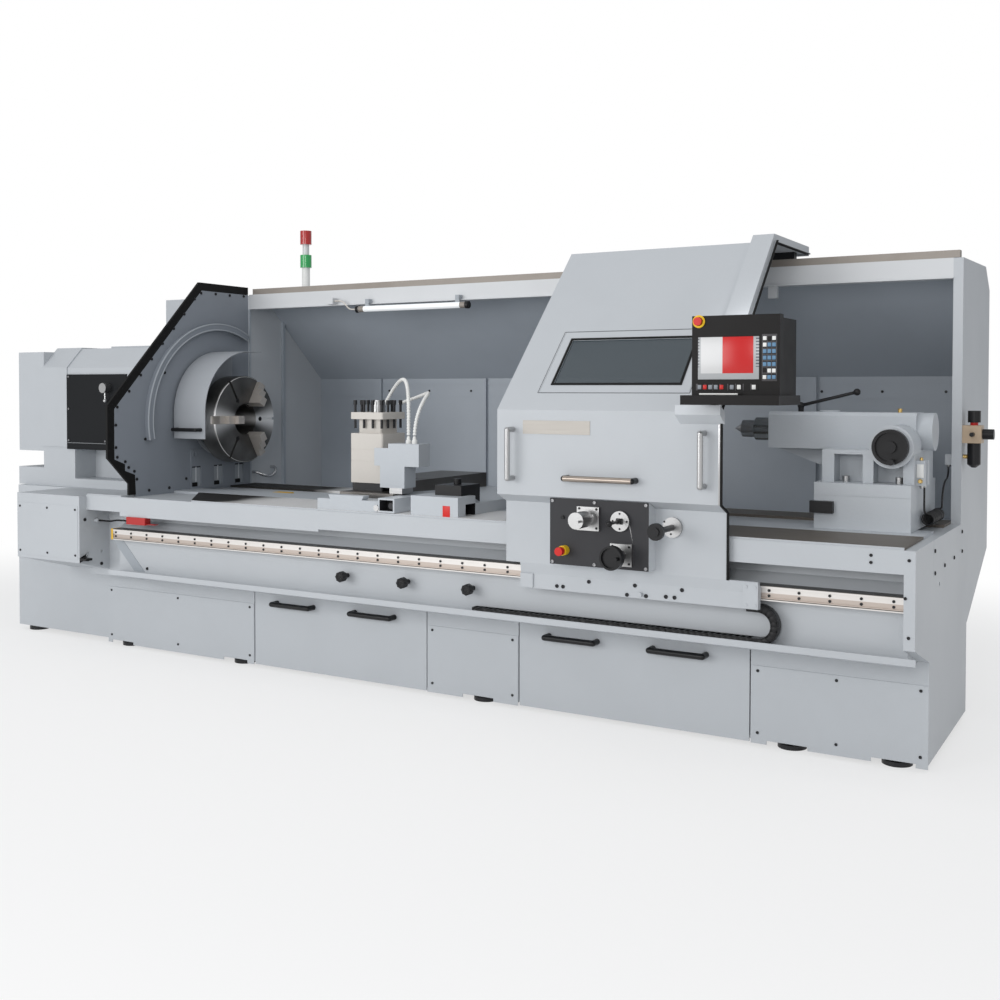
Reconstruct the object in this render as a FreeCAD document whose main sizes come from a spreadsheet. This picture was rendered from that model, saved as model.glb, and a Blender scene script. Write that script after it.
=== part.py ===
# A CNC turning lathe with a flat bed, about 5.4 m long, drawn at its real size in millimetres.
# X runs along the bed from the headstock to the tailstock, Y from the operator to the back of
# the machine, Z is up. The origin lies on the floor under the middle of the whole machine.
import FreeCAD
import Part
import Sketcher
import ast
import math
import operator
import os
import re

X_AXIS = FreeCAD.Vector(1, 0, 0)
Y_AXIS = FreeCAD.Vector(0, 1, 0)
Z_AXIS = FreeCAD.Vector(0, 0, 1)

# Driving dimensions. Names that end in left, right, front, back, bottom and top are planes
# of the machine; the others are lengths, radii, gaps and angles of one piece.
SIZES = {
    # the machine's main planes
    "base_left": -1840, "base_right": 2574, "base_front": -415, "base_back": 462,
    "base_bottom": 30, "base_top": 420, "cabinet_left": -2640, "headstock_left": -2470,
    "box_right": -1689, "plate_face": -1420, "housing_inside": 2534,
    "beam_front": 280, "wall_front": 958, "machine_back": 1060,
    "bed_front": -540, "bed_top": 868, "way_top": 880, "roof_top": 2020,
    "spindle_back": 10, "centre_height": 390, "running_gap": 0.3, "fit_gap": 0.05,
    # base, cover plates, feet and drawers
    "cover_sheet": 3, "seam_height": 330, "cover_bottom": 15, "notch_height": 17, "notch_width": 165,
    "foot_radius": 58, "foot_inset": 75, "stud_radius": 12, "foot_thickness": 18,
    "drawer_width": 1065, "drawer_pitch": 1568, "drawer_left": -750, "drawer_gap": 5,
    "drawer_low": 18, "drawer_top": 397, "drawer_depth": 640, "drawer_wall": 4,
    "drawer_front_sheet": 6, "runner_height": 10,
    "grip_span": 235, "grip_reach": 46, "grip_radius": 13, "grip_height": 348,
    "grip_first": 150, "grip_second": 645,
    "screw_radius": 6, "screw_head": 3,
    # left cabinet and the box in front of it
    "cabinet_front": -390, "cabinet_bottom": 30, "box_front": -742, "box_left": -2191,
    "box_bottom": 511, "box_slope_end": 412, "lid_margin": 12, "lid_bottom": 530, "lid_top": 815,
    "latch_length": 50, "latch_height": 12, "latch_depth": 42, "gland_radius": 12,
    "gland_length": 25, "gland_height": 731, "gland_back": -631,
    # chip tray, bed front, guide rail and fascia
    "tray_front": -682, "tray_lip_bottom": 456, "tray_lip_top": 482, "tray_floor": 464,
    "lip_sheet": 6, "tray_left": -1536, "apron_face": -612, "ledge_low": 700, "ledge_high": 736,
    "ledge_back": -556, "rail_face": -672, "rail_bottom": 642, "rail_top": 700, "rail_left": -1511,
    "rail_groove": 6, "rail_land": 11, "bolt_pitch": 114, "bolt_first": -1495, "bolt_count": 36,
    "bolt_radius": 5.5, "bolt_spacing": 20, "end_stop": 15,
    "fascia_face": -694, "fascia_sheet": 6, "fascia_joint": -108, "fascia_step": -1435,
    "fascia_left_top": 873, "fascia_top": 872, "fascia_step_bottom": 794,
    "fascia_left_bottom": 773, "fascia_bottom": 784,
    "front_way_back": -330, "way_groove": 8, "inner_way_back": -120, "rear_way_front": 120,
    "rear_way_back": 330, "way_end_front": -925, "way_end_shoulder": -958,
    "way_end_shoulder_back": -651, "way_end_left": -1229, "shelf_sheet": 12,
    "knob_first": 2, "knob_pitch": 346, "knob_height": 566, "knob_radius": 25, "knob_length": 34,
    "knob_stem": 11, "knob_reach": 60,
    # right end housing, rear enclosure, roof beam
    "housing_toe": 514, "housing_shelf": 870, "housing_heel": 480, "housing_heel_height": 423,
    "housing_hip": 681, "roof_edge": 2001, "roof_back": 933, "back_shoulder": 1918,
    "trough_floor": 700, "trough_under": 640, "seam_top": 1506, "slope_front": 488,
    "slope_top": 1929, "beam_depth": 55, "beam_bottom": 1914, "beam_lip": 8, "beam_lip_drop": 6,
    "wall_post_width": 60, "wall_post_depth": 18,
    "post_first": -961, "post_pitch": 760, "post_third": 1749, "rib_back": 568, "rib_width": 20,
    "roof_rail_left": -1392, "roof_rail_right": 2559, "roof_rail_front": 285, "roof_rail_back": 325,
    "roof_rail_height": 33, "rear_box_left": -2192, "rear_box_front": 368, "rear_box_bottom": 640,
    # splash plate, its seal and the headstock
    "plate_edge": -739, "plate_top": 1998, "seal_width": 45, "seal_depth": 14, "seal_gap": 4,
    "plate_corner": 1073, "plate_step_back": -669, "plate_step_top": 1045, "plate_step_low": 1010,
    "plate_foot_back": -601, "plate_foot_top": 985, "ridge_radius": 541, "ridge_width": 32,
    "ridge_height": 30, "ridge_start": 63, "ridge_sweep": 128, "nose_collar": 190,
    "nose_collar_wall": 8, "nose_collar_reach": 22, "nose_plate_front": -201,
    "nose_plate_back": 276, "nose_plate_height": 220, "nose_plate_sheet": 8,
    "nose_slot_first": -195, "nose_slot_pitch": 172.5, "nose_slot_width": 72,
    "nose_slot_height": 113, "nose_slot_rise": 13, "nose_block_height": 22, "nose_block_width": 40, "eye_radius": 17, "eye_back": -175, "eye_drop": 25, "port_radius": 9,
    "port_back": -214, "port_height": 686,
    "headstock_front": -342, "headstock_back": 360, "headstock_eave": 1563,
    "headstock_top": 1678, "bevel_back": -232, "tall_cover_right": -2257, "tall_cover_top": 1685,
    "end_cover_left": -2695, "end_cover_bottom": 1072, "end_cover_top": 1660,
    "end_block_top": 974, "gear_panel_right": -1762, "gear_panel_bottom": 1129,
    "gear_panel_top": 1525, "gear_panel_sheet": 8, "recess_left": -2198, "recess_bottom": 918,
    "recess_top": 1090, "recess_depth": 150, "ridge_bar_left": -2106, "ridge_bar_right": -1600,
    "ridge_bar_front": -150, "ridge_bar_width": 40, "ridge_bar_height": 14,
    "lever_across": -1908, "lever_height": 1446, "lever_hub": 28, "lever_hub_reach": 42,
    "lever_arm": 72, "lever_rod": 6, "lever_ball": 12,
    # spindle, chuck, jaws and chuck guard
    "chuck_radius": 245, "chuck_depth": 118, "chuck_face": -1202, "chuck_bore": 88,
    "chuck_chamfer": 6, "back_plate_radius": 180, "nose_radius": 120, "nose_length": 110,
    "jaw_width": 44, "jaw_slot_depth": 30, "jaw_inner": 96, "jaw_outer": 232, "jaw_step_one": 28,
    "jaw_step_two": 55, "jaw_step_three": 82, "jaw_step_length": 45,
    "key_slot_width": 14, "key_slot_depth": 18, "key_slot_inner": 120,
    "hood_radius": 345, "hood_sheet": 4, "hood_left": -1405, "hood_right": -1175,
    "hood_lift": 39, "hood_drop": 100, "hood_tail": 118, "hood_ring": 15, "hood_grip_span": 170,
    "hood_grip_rise": 50, "hood_grip_reach": 42, "hood_grip_radius": 10,
    # saddle, cross slide, tool post
    "saddle_left": -126, "saddle_split": 232, "saddle_right": 654, "saddle_front": -676,
    "saddle_step_front": -531, "saddle_back": 320, "saddle_top": 930,
    "saddle_nose_left": -62, "saddle_nose_right": 142, "saddle_nose_back": -630,
    "saddle_nose_top": 950, "saddle_nose_flare": 11,
    "duct_width": 90, "duct_front": -686, "duct_back": -310, "duct_bottom": 882, "duct_top": 947,
    "duct_wall": 8, "duct_recess": 60, "bearing_across": 299, "bearing_height": 913,
    "bearing_radius": 14, "coupling_across": 221, "coupling_height": 900,
    "gearbox_left": 405, "gearbox_top": 966, "gearbox_notch": 60, "gearbox_notch_front": -613,
    "gearbox_notch_top": 932, "motor_left": 485, "motor_right": 623, "motor_front": -600,
    "motor_back": -440, "motor_top": 1012, "motor_cap_radius": 18, "motor_cap": 25,
    "slide_left": -85, "slide_right": 225, "slide_front": -560, "slide_split": -240,
    "slide_top": 954, "slide_cover_back": 285, "slide_cover_top": 1005,
    "cover_shoulder_left": 150, "cover_shoulder_front": -400,
    "wiper_width": 8, "turret_across": 7, "turret_back": -377, "turret_side": 190,
    "turret_base_side": 180, "turret_bottom": 992, "turret_shoulder": 1229, "turret_neck_rise": 68,
    "turret_neck_side": 134, "turret_plate": 33, "turret_chamfer": 5, "pivot_radius": 40,
    "pivot_height": 20, "cap_radius": 36, "cap_height": 50,
    "clamp_radius": 6, "clamp_head": 9, "clamp_above": 58, "clamp_head_height": 22,
    "clamp_below": 44, "clamp_inset": 17,
    "manifold_front": -532, "manifold_back": -440, "manifold_bottom": 1082,
    "manifold_top": 1187, "manifold_left": 178, "manifold_right": 350,
    "manifold_step_left": 98, "manifold_step_back": -516, "manifold_step_top": 1165,
    "lower_box_left": 131, "lower_box_right": 270, "lower_box_bottom": 980,
    "riser_left": 184, "riser_right": 255, "riser_front": -530, "riser_back": -440, "hose_radius": 8,
    "hose_rise": 236, "hose_foot": 84, "hose_foot_two": 118,
    "crown_back": 110, "crown_reach": 300, "crown_reach_two": 330, "crown_height": 420,
    "crown_height_two": 270, "tip_far": 271, "tip_near": 165, "tip_reach": 314, "tip_height": 189,

    # tailstock
    "tail_left": 2093, "tail_right": 2471, "tail_front": -250, "tail_back": 270,
    "tail_base_top": 1066, "column_front": -190, "column_back": 210, "column_left": 2109,
    "pocket_left": 2158, "pocket_right": 2272, "pocket_two_left": 2314, "pocket_two_right": 2429,
    "pocket_depth": 90, "pocket_top": 1180, "barrel_left": 1848, "barrel_right": 2455,
    "barrel_half": 77, "barrel_width": 170, "barrel_end": 2515, "barrel_chamfer": 14,
    "gusset_left": 1862, "gusset_foot": 1126, "gusset_sheet": 60,
    "quill_radius": 50, "quill_nose": 78, "quill_inside": 520, "centre_radius": 37,
    "centre_length": 60, "centre_cone": 38, "centre_shank": 18, "centre_shank_length": 60,
    "wheel_across": 2390, "wheel_height": 1215, "boss_radius": 86, "boss_reach": 40,
    "wheel_radius": 70, "wheel_width": 26, "wheel_rim": 12, "wheel_shaft": 14,
    "crank_radius": 12, "crank_reach": 32, "clamp_post_across": 1964, "clamp_post_radius": 12,
    "clamp_post_height": 22, "clamp_lever": 236, "clamp_lever_rise": 62, "clamp_rod": 7,
    "clamp_grip": 11, "nut_radius": 15, "nut_height": 24,
    "nut_front": -160, "cap_disc": 42, "cap_disc_height": 7, "cap_across": 2088,
    "wiper_left": 2081, "wiper_right": 2174, "wiper_reach": 25, "wiper_bottom": 944,
    "wiper_top": 992, "valve_width": 32, "valve_front": -150, "valve_back": -50,
    "valve_bottom": 1060, "valve_top": 1160,
    "coil_radius": 22, "coil_tube": 4, "coil_turns": 20, "coil_height": 40, "plug_back": 319,
    "plug_height": 1120,
    # sliding guard
    "guard_left": 920, "guard_right": 1892, "guard_front": -791, "guard_skirt": -714,
    "guard_foot": 716, "skirt_top": 972, "chest_bottom": 1006, "guard_knee": 1357,
    "guard_crest": -109, "guard_roof": 2069, "guard_roof_back": 400, "guard_sheet": 3,
    "rib_left": 1790, "rib_right": 1883, "rib_rise": 30, "rib_start": 160,
    "window_left": 1130, "window_right": 1685, "window_low": 150, "window_high": 405,
    "glass_sheet": 5, "gasket_width": 10, "gasket_sheet": 3, "side_seal": 3, "side_seal_width": 22,
    "handle_radius": 11, "handle_reach": 48, "handle_left": 995, "handle_right": 1825,
    "handle_low": 1075, "handle_high": 1276, "pull_left": 1250, "pull_right": 1545,
    "pull_height": 1085, "pull_radius": 12, "pull_reach": 40,
    "name_left": 1043, "name_right": 1347, "name_bottom": 1259, "name_top": 1314, "name_sheet": 2,
    "shelf_left": 1832, "shelf_right": 2190, "shelf_front": -1060, "shelf_back": -800,
    "shelf_bottom": 1386, "shelf_height": 34, "bracket_left": 1727, "bracket_right": 1905,
    "bracket_front": -845, "bracket_bottom": 1310, "pivot_across": 1868,
    "pivot_back": -820, "pin_radius": 12,
    "bezel_front": -992, "bezel_depth": 40, "bezel_right": 2172, "bezel_left": 1850,
    "bezel_top": 1704, "pendant_back": -760, "pendant_margin": 10, "screen_left": 1872,
    "screen_right": 2098, "screen_bottom": 1476, "screen_top": 1628, "screen_depth": 3,
    "keypad_left": 2110, "keypad_right": 2160, "keypad_sheet": 1.5, "keystrip_bottom": 1436,
    "keystrip_height": 26,
    # beam that carries the guard, and its cable chain
    "carriage_front": -705, "carriage_back": -680, "carriage_bottom": 610,
    "carriage_neck": 672, "carriage_left": 987, "carriage_right": 2010, "carriage_lip_back": -690,
    "pad_length": 58, "bracket_plate": 7, "end_bracket_bottom": 613,
    "end_bracket_top": 710, "roof_shoe_length": 100, "roof_shoe_inset": 60,
    "chain_left": 724, "chain_front": -672, "chain_width": 40, "chain_height": 30,
    "chain_bend": 65, "chain_anchor": 1996, "chain_plate": 6, "chain_clamp": 40,
    # control panel and its hand controls
    "panel_left": 1164, "panel_right": 1597, "panel_bottom": 732, "panel_top": 1000,
    "panel_face": -782, "panel_gap": 1,
    "feed_across": 1340, "feed_height": 927, "feed_flange": 92, "flange_sheet": 12,
    "feed_drum": 33, "feed_drum_length": 78, "feed_hub": 24, "crank_pin": 5, "crank_out": 24,
    "crank_pin_length": 34, "fine_across": 1486, "fine_height": 790, "fine_flange": 88,
    "fine_wheel": 47, "fine_wheel_depth": 30, "fine_neck": 20, "fine_neck_length": 50,
    "stick_across": 1479, "stick_height": 923, "stick_disc": 40, "stick_disc_depth": 14,
    "stick_radius": 6, "stick_length": 88, "stick_ball": 13,
    "stop_across": 1233, "stop_height": 792, "stop_collar": 20, "stop_collar_depth": 30,
    "stop_radius": 17, "stop_head": 24, "stop_neck": 10, "stop_neck_length": 40, "stop_travel": 6,
    "button_across": 1223, "button_height": 924, "button_radius": 7, "button_depth": 8,
    "side_knob_across": 1670, "side_knob_height": 903, "side_knob_radius": 33,
    "side_knob_depth": 16, "side_flange_radius": 40, "side_flange_depth": 12,
    "side_shaft": 12, "side_shaft_length": 165, "pendant_stop_across": 1876,
    "pendant_stop_height": 1684, "pendant_stop_radius": 15,
    # lamp, signal tower, air unit, door switch, coolant pipe
    "lamp_left": -596, "lamp_right": 138, "lamp_back": 250, "lamp_height": 1886,
    "lamp_radius": 16, "lamp_cap": 3, "lamp_cap_length": 18, "lamp_clip": 24,
    "tower_across": -1229, "tower_back": 578, "tower_pole": 24, "tower_pole_top": 2178,
    "tower_lens": 34, "tower_lens_length": 76, "tower_neck": 20, "tower_neck_length": 64,
    "tower_top": 2400, "tower_flange": 36, "tower_flange_height": 10,
    "air_back": 330, "air_bottom": 1215, "air_top": 1290, "air_width": 80, "air_reach": 76,
    "bowl_radius": 27, "bowl_bottom": 1110, "dial_radius": 22, "dial_right": 2695,
    "air_knob_radius": 26, "air_knob_top": 1352, "air_neck_radius": 16, "air_neck": 12,
    "elbow_radius": 9, "elbow_front": 255,
    "switch_left": -1375, "switch_right": -1240, "switch_front": -704, "switch_back": -664,
    "switch_bottom": 735, "switch_top": 773, "actuator_right": -1175,
    "actuator_top": 742, "pipe_radius": 9,
}

doc = FreeCAD.newDocument("turning_lathe")
sheet = doc.addObject("Spreadsheet::Sheet", "Sizes")
for row, (alias, value) in enumerate(SIZES.items(), 1):
    sheet.set("A%d" % row, alias)
    sheet.set("B%d" % row, str(value))
    sheet.setAlias("B%d" % row, alias)
doc.recompute()

WORD = re.compile(r"[a-z][a-z_]+")
SIGNS = {ast.Add: operator.add, ast.Sub: operator.sub, ast.Mult: operator.mul,
         ast.Div: operator.truediv}
# planes that follow from the sheet, written as expressions
SPINDLE_Z = "(way_top + centre_height)"
RAKE = "((guard_roof - guard_knee) / (guard_crest - guard_front))"
SLANT = "sqrt(1 + %s * %s)" % (RAKE, RAKE)
CHUCK_BACK = "(chuck_face - chuck_depth)"
GUARD_INSIDE = "(guard_front + guard_sheet)"
SEAL_EDGE = "(guard_front + guard_sheet + seal_gap)"


def cells(text):
    """The expression with every size's name pointing at the sheet."""
    text = str(text)
    return WORD.sub(lambda m: m.group() if m.group() == "sqrt" else "Sizes." + m.group(), text)


def size(text):
    """The number that an expression over the sheet gives."""
    return worth(ast.parse(str(text)).body[0].value)


def worth(node):
    if isinstance(node, ast.Constant):
        return float(node.value)
    if isinstance(node, ast.Name):
        return float(sheet.get(node.id))
    if isinstance(node, ast.Call):
        return math.sqrt(worth(node.args[0]))
    if isinstance(node, ast.UnaryOp):
        return -worth(node.operand)
    return SIGNS[type(node.op)](worth(node.left), worth(node.right))


def place(obj, x, y, z, turn=None):
    """Binds where the object lies; turn is an optional fixed rotation."""
    if turn is not None:
        obj.Placement = FreeCAD.Placement(FreeCAD.Vector(), turn)
    for axis, value in zip("xyz", (x, y, z)):
        obj.setExpression("Placement.Base." + axis, cells(value))
    return obj


def block(name, x, y, z):
    """A box between two planes along each axis."""
    box = doc.addObject("Part::Box", name)
    for side, (low, high) in zip(("Length", "Width", "Height"), (x, y, z)):
        box.setExpression(side, cells("(%s) - (%s)" % (high, low)))
    return place(box, x[0], y[0], z[0])


ALONG = {
    "x": FreeCAD.Rotation(Y_AXIS, Z_AXIS, X_AXIS, "XYZ"),
    "y": FreeCAD.Rotation(Z_AXIS, X_AXIS, Y_AXIS, "XYZ"),
    "z": FreeCAD.Rotation(),
}


def rod(name, axis, radius, length, x, y, z, turn=None):
    """A cylinder along an axis, from the point on; turn goes before its own direction."""
    cylinder = doc.addObject("Part::Cylinder", name)
    cylinder.setExpression("Radius", cells(radius))
    cylinder.setExpression("Height", cells(length))
    return place(cylinder, x, y, z, (turn or FreeCAD.Rotation()) * ALONG[axis])


def cone(name, axis, first, second, length, x, y, z):
    taper = doc.addObject("Part::Cone", name)
    taper.setExpression("Radius1", cells(first))
    taper.setExpression("Radius2", cells(second))
    taper.setExpression("Height", cells(length))
    return place(taper, x, y, z, ALONG[axis])


def ball(name, radius, x, y, z):
    sphere = doc.addObject("Part::Sphere", name)
    sphere.setExpression("Radius", cells(radius))
    return place(sphere, x, y, z)


def cut(name, base, *tools):
    result = doc.addObject("Part::Cut", name)
    result.Base = base
    result.Tool = tools[0] if len(tools) == 1 else join(name + "_cuts", *tools)
    return result


def join(name, *pieces):
    result = doc.addObject("Part::MultiFuse", name)
    result.Shapes = list(pieces)
    return result


def group(name, *pieces):
    """Several separate solids that make one sub-part."""
    result = doc.addObject("Part::Compound", name)
    result.Links = list(pieces)
    return result


def profile(name, plane, outline, low, high):
    """A padded sketch. On YZ the pad runs along X, on XZ along Y, and on XY along Z."""
    body = doc.addObject("PartDesign::Body", name)
    sketch = body.newObject("Sketcher::SketchObject", name + "_outline")
    role = plane + "_Plane"
    origin_plane = [item for item in body.Origin.OriginFeatures if item.Role == role][0]
    sketch.AttachmentSupport = (origin_plane, [""])
    sketch.MapMode = "FlatFace"
    corners = [FreeCAD.Vector(size(a), size(b), 0) for a, b in outline]
    for start, end in zip(corners, corners[1:] + corners[:1]):
        sketch.addGeometry(Part.LineSegment(start, end), False)
    for index in range(len(corners)):
        following = (index + 1) % len(corners)
        sketch.addConstraint(Sketcher.Constraint("Coincident", index, 2, following, 1))
    for index, (corner, pair) in enumerate(zip(corners, outline)):
        for kind, value, text in zip(("DistanceX", "DistanceY"), corner, pair):
            constraint = Sketcher.Constraint(kind, -1, 1, index, 1, value)
            number = sketch.addConstraint(constraint)
            sketch.setExpression("Constraints[%d]" % number, cells(text))
    pad = body.newObject("PartDesign::Pad", name + "_pad")
    pad.Profile = sketch
    pad.setExpression("Length", cells("(%s) - (%s)" % (high, low)))
    offset = {"YZ": (low, 0, 0), "XZ": (0, high, 0), "XY": (0, 0, low)}[plane]
    return place(body, *offset)


def handle(name, axis, radius, reach, x, y, z, length):
    """A round bar on two posts that stand off a face towards the front."""
    end = {"x": ("(%s) + (%s)" % (x, length), z), "z": (x, "(%s) + (%s)" % (z, length))}[axis]
    out = "(%s) - (%s)" % (y, reach)
    pieces = [rod(name + "_bar", axis, radius, length, x, out, z)]
    for tag, (across, height) in (("a", (x, z)), ("b", end)):
        pieces.append(rod(name + "_post_" + tag, "y", radius, reach, across, out, height))
        pieces.append(ball(name + "_elbow_" + tag, radius, across, out, height))
    return join(name, *pieces)


def around_spindle(angle):
    """A rotation that turns a sector's start away from +Y by the angle, about the spindle."""
    return FreeCAD.Rotation(X_AXIS, angle) * ALONG["x"]


def sector(name, outer, inner, length, x, start, sweep):
    """Part of a ring about the spindle axis, which runs along X."""
    rings = []
    for tag, radius in (("outer", outer), ("inner", inner)):
        cylinder = doc.addObject("Part::Cylinder", name + "_" + tag)
        cylinder.setExpression("Radius", cells(radius))
        cylinder.setExpression("Height", cells(length))
        cylinder.setExpression("Angle", cells(sweep))
        place(cylinder, x, "spindle_back", SPINDLE_Z, around_spindle(size(start)))
        rings.append(cylinder)
    return cut(name, *rings)


def tube(name, points, radius, bends):
    """A round tube along straight runs joined by tangent arcs of the given radii."""
    edges = []
    start = points[0]
    for index in range(1, len(points) - 1):
        here, before, after = points[index], points[index - 1], points[index + 1]
        back = (before - here).normalize()
        forth = (after - here).normalize()
        half = back.getAngle(forth) / 2
        reach = bends[index - 1] / math.tan(half)
        centre = here + (back + forth).normalize() * (bends[index - 1] / math.sin(half))
        middle = centre + (here - centre).normalize() * bends[index - 1]
        entry = here + back * reach
        leave = here + forth * reach
        edges.append(Part.LineSegment(start, entry).toShape())
        edges.append(Part.Arc(entry, middle, leave).toShape())
        start = leave
    edges.append(Part.LineSegment(start, points[-1]).toShape())
    path = Part.Wire(edges)
    heading = (points[1] - points[0]).normalize()
    ring = Part.Wire([Part.Circle(points[0], heading, radius).toShape()])
    swept = path.makePipeShell([ring], True, False)
    print("%s: volume %.0f, section times length %.0f, least bend %.0f" % (
        name, swept.Volume, math.pi * radius * radius * path.Length, min(bends)))
    feature = doc.addObject("Part::Feature", name)
    feature.Shape = swept
    return feature


def largest_bends(points):
    """Radii of 0.45 of the shorter run beside each corner over the tangent of half its turn."""
    radii = []
    for before, here, after in zip(points, points[1:], points[2:]):
        turn = (here - before).getAngle(after - here)
        shorter = min((here - before).Length, (after - here).Length)
        radii.append(0.45 * shorter / math.tan(turn / 2))
    return radii


def rake_back(height, inset):
    """Y of a line parallel to the guard's sloping face, the inset measured square to it."""
    return "(guard_front + ((%s) - guard_knee + (%s) * %s) / %s)" % (height, inset, SLANT, RAKE)


def rake_height(back, inset):
    """Z of the same line at a given Y."""
    return "(guard_knee + ((%s) - guard_front) * %s - (%s) * %s)" % (back, RAKE, inset, SLANT)


def slope_block(name, x, along, out):
    """A box on the guard's sloping face: along runs up the slope, out points away from it."""
    box = doc.addObject("Part::Box", name)
    for side, (low, high) in zip(("Length", "Width", "Height"), (x, along, out)):
        box.setExpression(side, cells("(%s) - (%s)" % (high, low)))
    lean = FreeCAD.Rotation(X_AXIS, math.degrees(math.atan(size(RAKE))))
    y = "guard_front + ((%s) - (%s) * %s) / %s" % (along[0], out[0], RAKE, SLANT)
    z = "guard_knee + ((%s) * %s + (%s)) / %s" % (along[0], RAKE, out[0], SLANT)
    return place(box, x[0], y, z, lean)


def strut(name, radius, start, end):
    """A round bar between two points."""
    first = FreeCAD.Vector(*[size(value) for value in start])
    last = FreeCAD.Vector(*[size(value) for value in end])
    bar = doc.addObject("Part::Cylinder", name)
    bar.setExpression("Radius", cells(radius))
    bar.Height = (last - first).Length
    return place(bar, *start, FreeCAD.Rotation(Z_AXIS, last - first))


def octagon(name, x, y, side, corner, low, high):
    """An upright square block with its corners cut off."""
    half = "(%s) / 2" % side
    near = "(%s) / 2 - (%s)" % (side, corner)
    corners = []
    for a, b in ((half, near), (near, half)):
        corners.append(("%s + %s" % (x, a), "%s + %s" % (y, b)))
    for a, b in ((near, half), (half, near)):
        corners.append(("%s - (%s)" % (x, a), "%s + %s" % (y, b)))
    for a, b in ((half, near), (near, half)):
        corners.append(("%s - (%s)" % (x, a), "%s - (%s)" % (y, b)))
    for a, b in ((near, half), (half, near)):
        corners.append(("%s + %s" % (x, a), "%s - (%s)" % (y, b)))
    return profile(name, "XY", corners, low, high)


def aim(obj, angle, x, half_width):
    """Turns a piece about the spindle axis, with its width centred on the radius."""
    turn = math.radians(angle)
    y = "spindle_back + (%.9f) * (%s)" % (math.sin(turn), half_width)
    z = "%s - (%.9f) * (%s)" % (SPINDLE_Z, math.cos(turn), half_width)
    return place(obj, x, y, z, FreeCAD.Rotation(X_AXIS, angle))


BAY_LEFTS = ("drawer_left", "(drawer_left + drawer_pitch)")
FEET = ("(base_left + 115)", "(drawer_left - 135)", "(drawer_left + drawer_width + 285)",
        "(base_right - 536)", "(base_right - 127)")
COVERS = (("base_left", "(drawer_left - 7)"),
          ("(drawer_left + drawer_width + 7)", "(drawer_left + drawer_pitch - 7)"),
          ("(drawer_left + drawer_pitch + drawer_width + 7)", "base_right"))


FEET_OF_COVER = (FEET[:2], FEET[2:3], FEET[3:])


def base_cabinet():
    """Three pedestals with a frame round each drawer bay between them, plate by plate."""
    deep = ("base_front", "base_back")
    edges = ["base_left"]
    for left in BAY_LEFTS:
        edges += [left + " - drawer_gap", left + " + drawer_width + drawer_gap"]
    edges.append("base_right")
    pieces = [block("pedestal_%d" % number, (edges[2 * number], edges[2 * number + 1]), deep,
                    ("base_bottom", "base_top")) for number in range(3)]
    for number in range(2):
        bay = (edges[2 * number + 1], edges[2 * number + 2])
        pieces.append(block("lintel_%d" % number, bay, deep, ("base_top - 20", "base_top")))
        pieces.append(block("bay_back_%d" % number, bay, ("base_back - 22", "base_back"),
                            ("base_bottom", "base_top - 20")))
        pieces.append(block("bay_floor_%d" % number, bay,
                            ("base_front + drawer_front_sheet + 2", "base_back - 22"),
                            ("base_bottom", "base_bottom + runner_height")))
    for number, (ends, feet) in enumerate(zip(COVERS, FEET_OF_COVER)):
        cover = block("cover_%d" % number, ends, ("base_front - cover_sheet", "base_front"),
                      ("cover_bottom", "seam_height"))
        notches = [block("notch_%d_%d" % (number, foot), ("%s - notch_width / 2" % across,
                                                        "%s + notch_width / 2" % across),
                         ("base_front - cover_sheet - 1", "base_front + 1"),
                         ("cover_bottom - 1", "cover_bottom + notch_height"))
                   for foot, across in enumerate(feet)]
        pieces.append(cut("notched_cover_%d" % number, cover, *notches))
    return group("base_cabinet", *pieces)


def bolt_places():
    for number in range(int(size("bolt_count"))):
        for level in ("rail_bottom + 19", "rail_bottom + 19 + bolt_spacing"):
            yield "bolt_first + %d * bolt_pitch" % number, "rail_face + rail_groove", level


def cover_screw_places():
    columns = (3, 2, 3)
    for (left, right), count in zip(COVERS, columns):
        for column in range(count):
            share = column / (count - 1)
            across = "%s + 28 + %r * (%s - %s - 56)" % (left, share, right, left)
            for level in ("cover_bottom + 44", "seam_height - 20"):
                yield across, "base_front - cover_sheet", level


def lid_screw_places():
    for share in (0, 0.5, 1):
        across = "box_left + 26 + %r * (box_right - box_left - 56)" % share
        for level in ("lid_bottom + 20", "lid_top - 20"):
            yield across, "box_front - 2", level


def beam_screw_places():
    for offset in (12, 47):
        for level in ("end_bracket_bottom + 14", "end_bracket_top - 14"):
            yield "carriage_right - 59 + %d" % offset, "carriage_front - bracket_plate", level


def socket_screws():
    heads = []
    for number, (across, face, level) in enumerate(bolt_places()):
        heads.append(rod("bolt_%d" % number, "y", "bolt_radius", "screw_head",
                         across, "%s - screw_head" % face, level))
    for number, (across, face, level) in enumerate(cover_screw_places()):
        heads.append(rod("cover_screw_%d" % number, "y", "screw_radius", "screw_head",
                         across, "%s - screw_head" % face, level))
    for number, (across, face, level) in enumerate(lid_screw_places()):
        heads.append(rod("lid_screw_%d" % number, "y", "screw_radius", "screw_head",
                         across, "%s - screw_head" % face, level))
    return group("socket_screws", *heads)


def levelling_feet():
    feet = []
    rows = ("base_front + foot_inset", "base_back - foot_inset")
    spots = [(across, back) for across in FEET for back in rows]
    spots += [("cabinet_left + 90", "cabinet_front + foot_inset"), ("cabinet_left + 90", rows[1])]
    for number, (across, back) in enumerate(spots):
        pad = rod("pad_%d" % number, "z", "foot_radius", "foot_thickness", across, back, 0)
        stud = rod("stud_%d" % number, "z", "stud_radius", "base_bottom - 2", across, back, 2)
        feet.append(join("foot_%d" % number, pad, stud))
    return group("levelling_feet", *feet)


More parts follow.
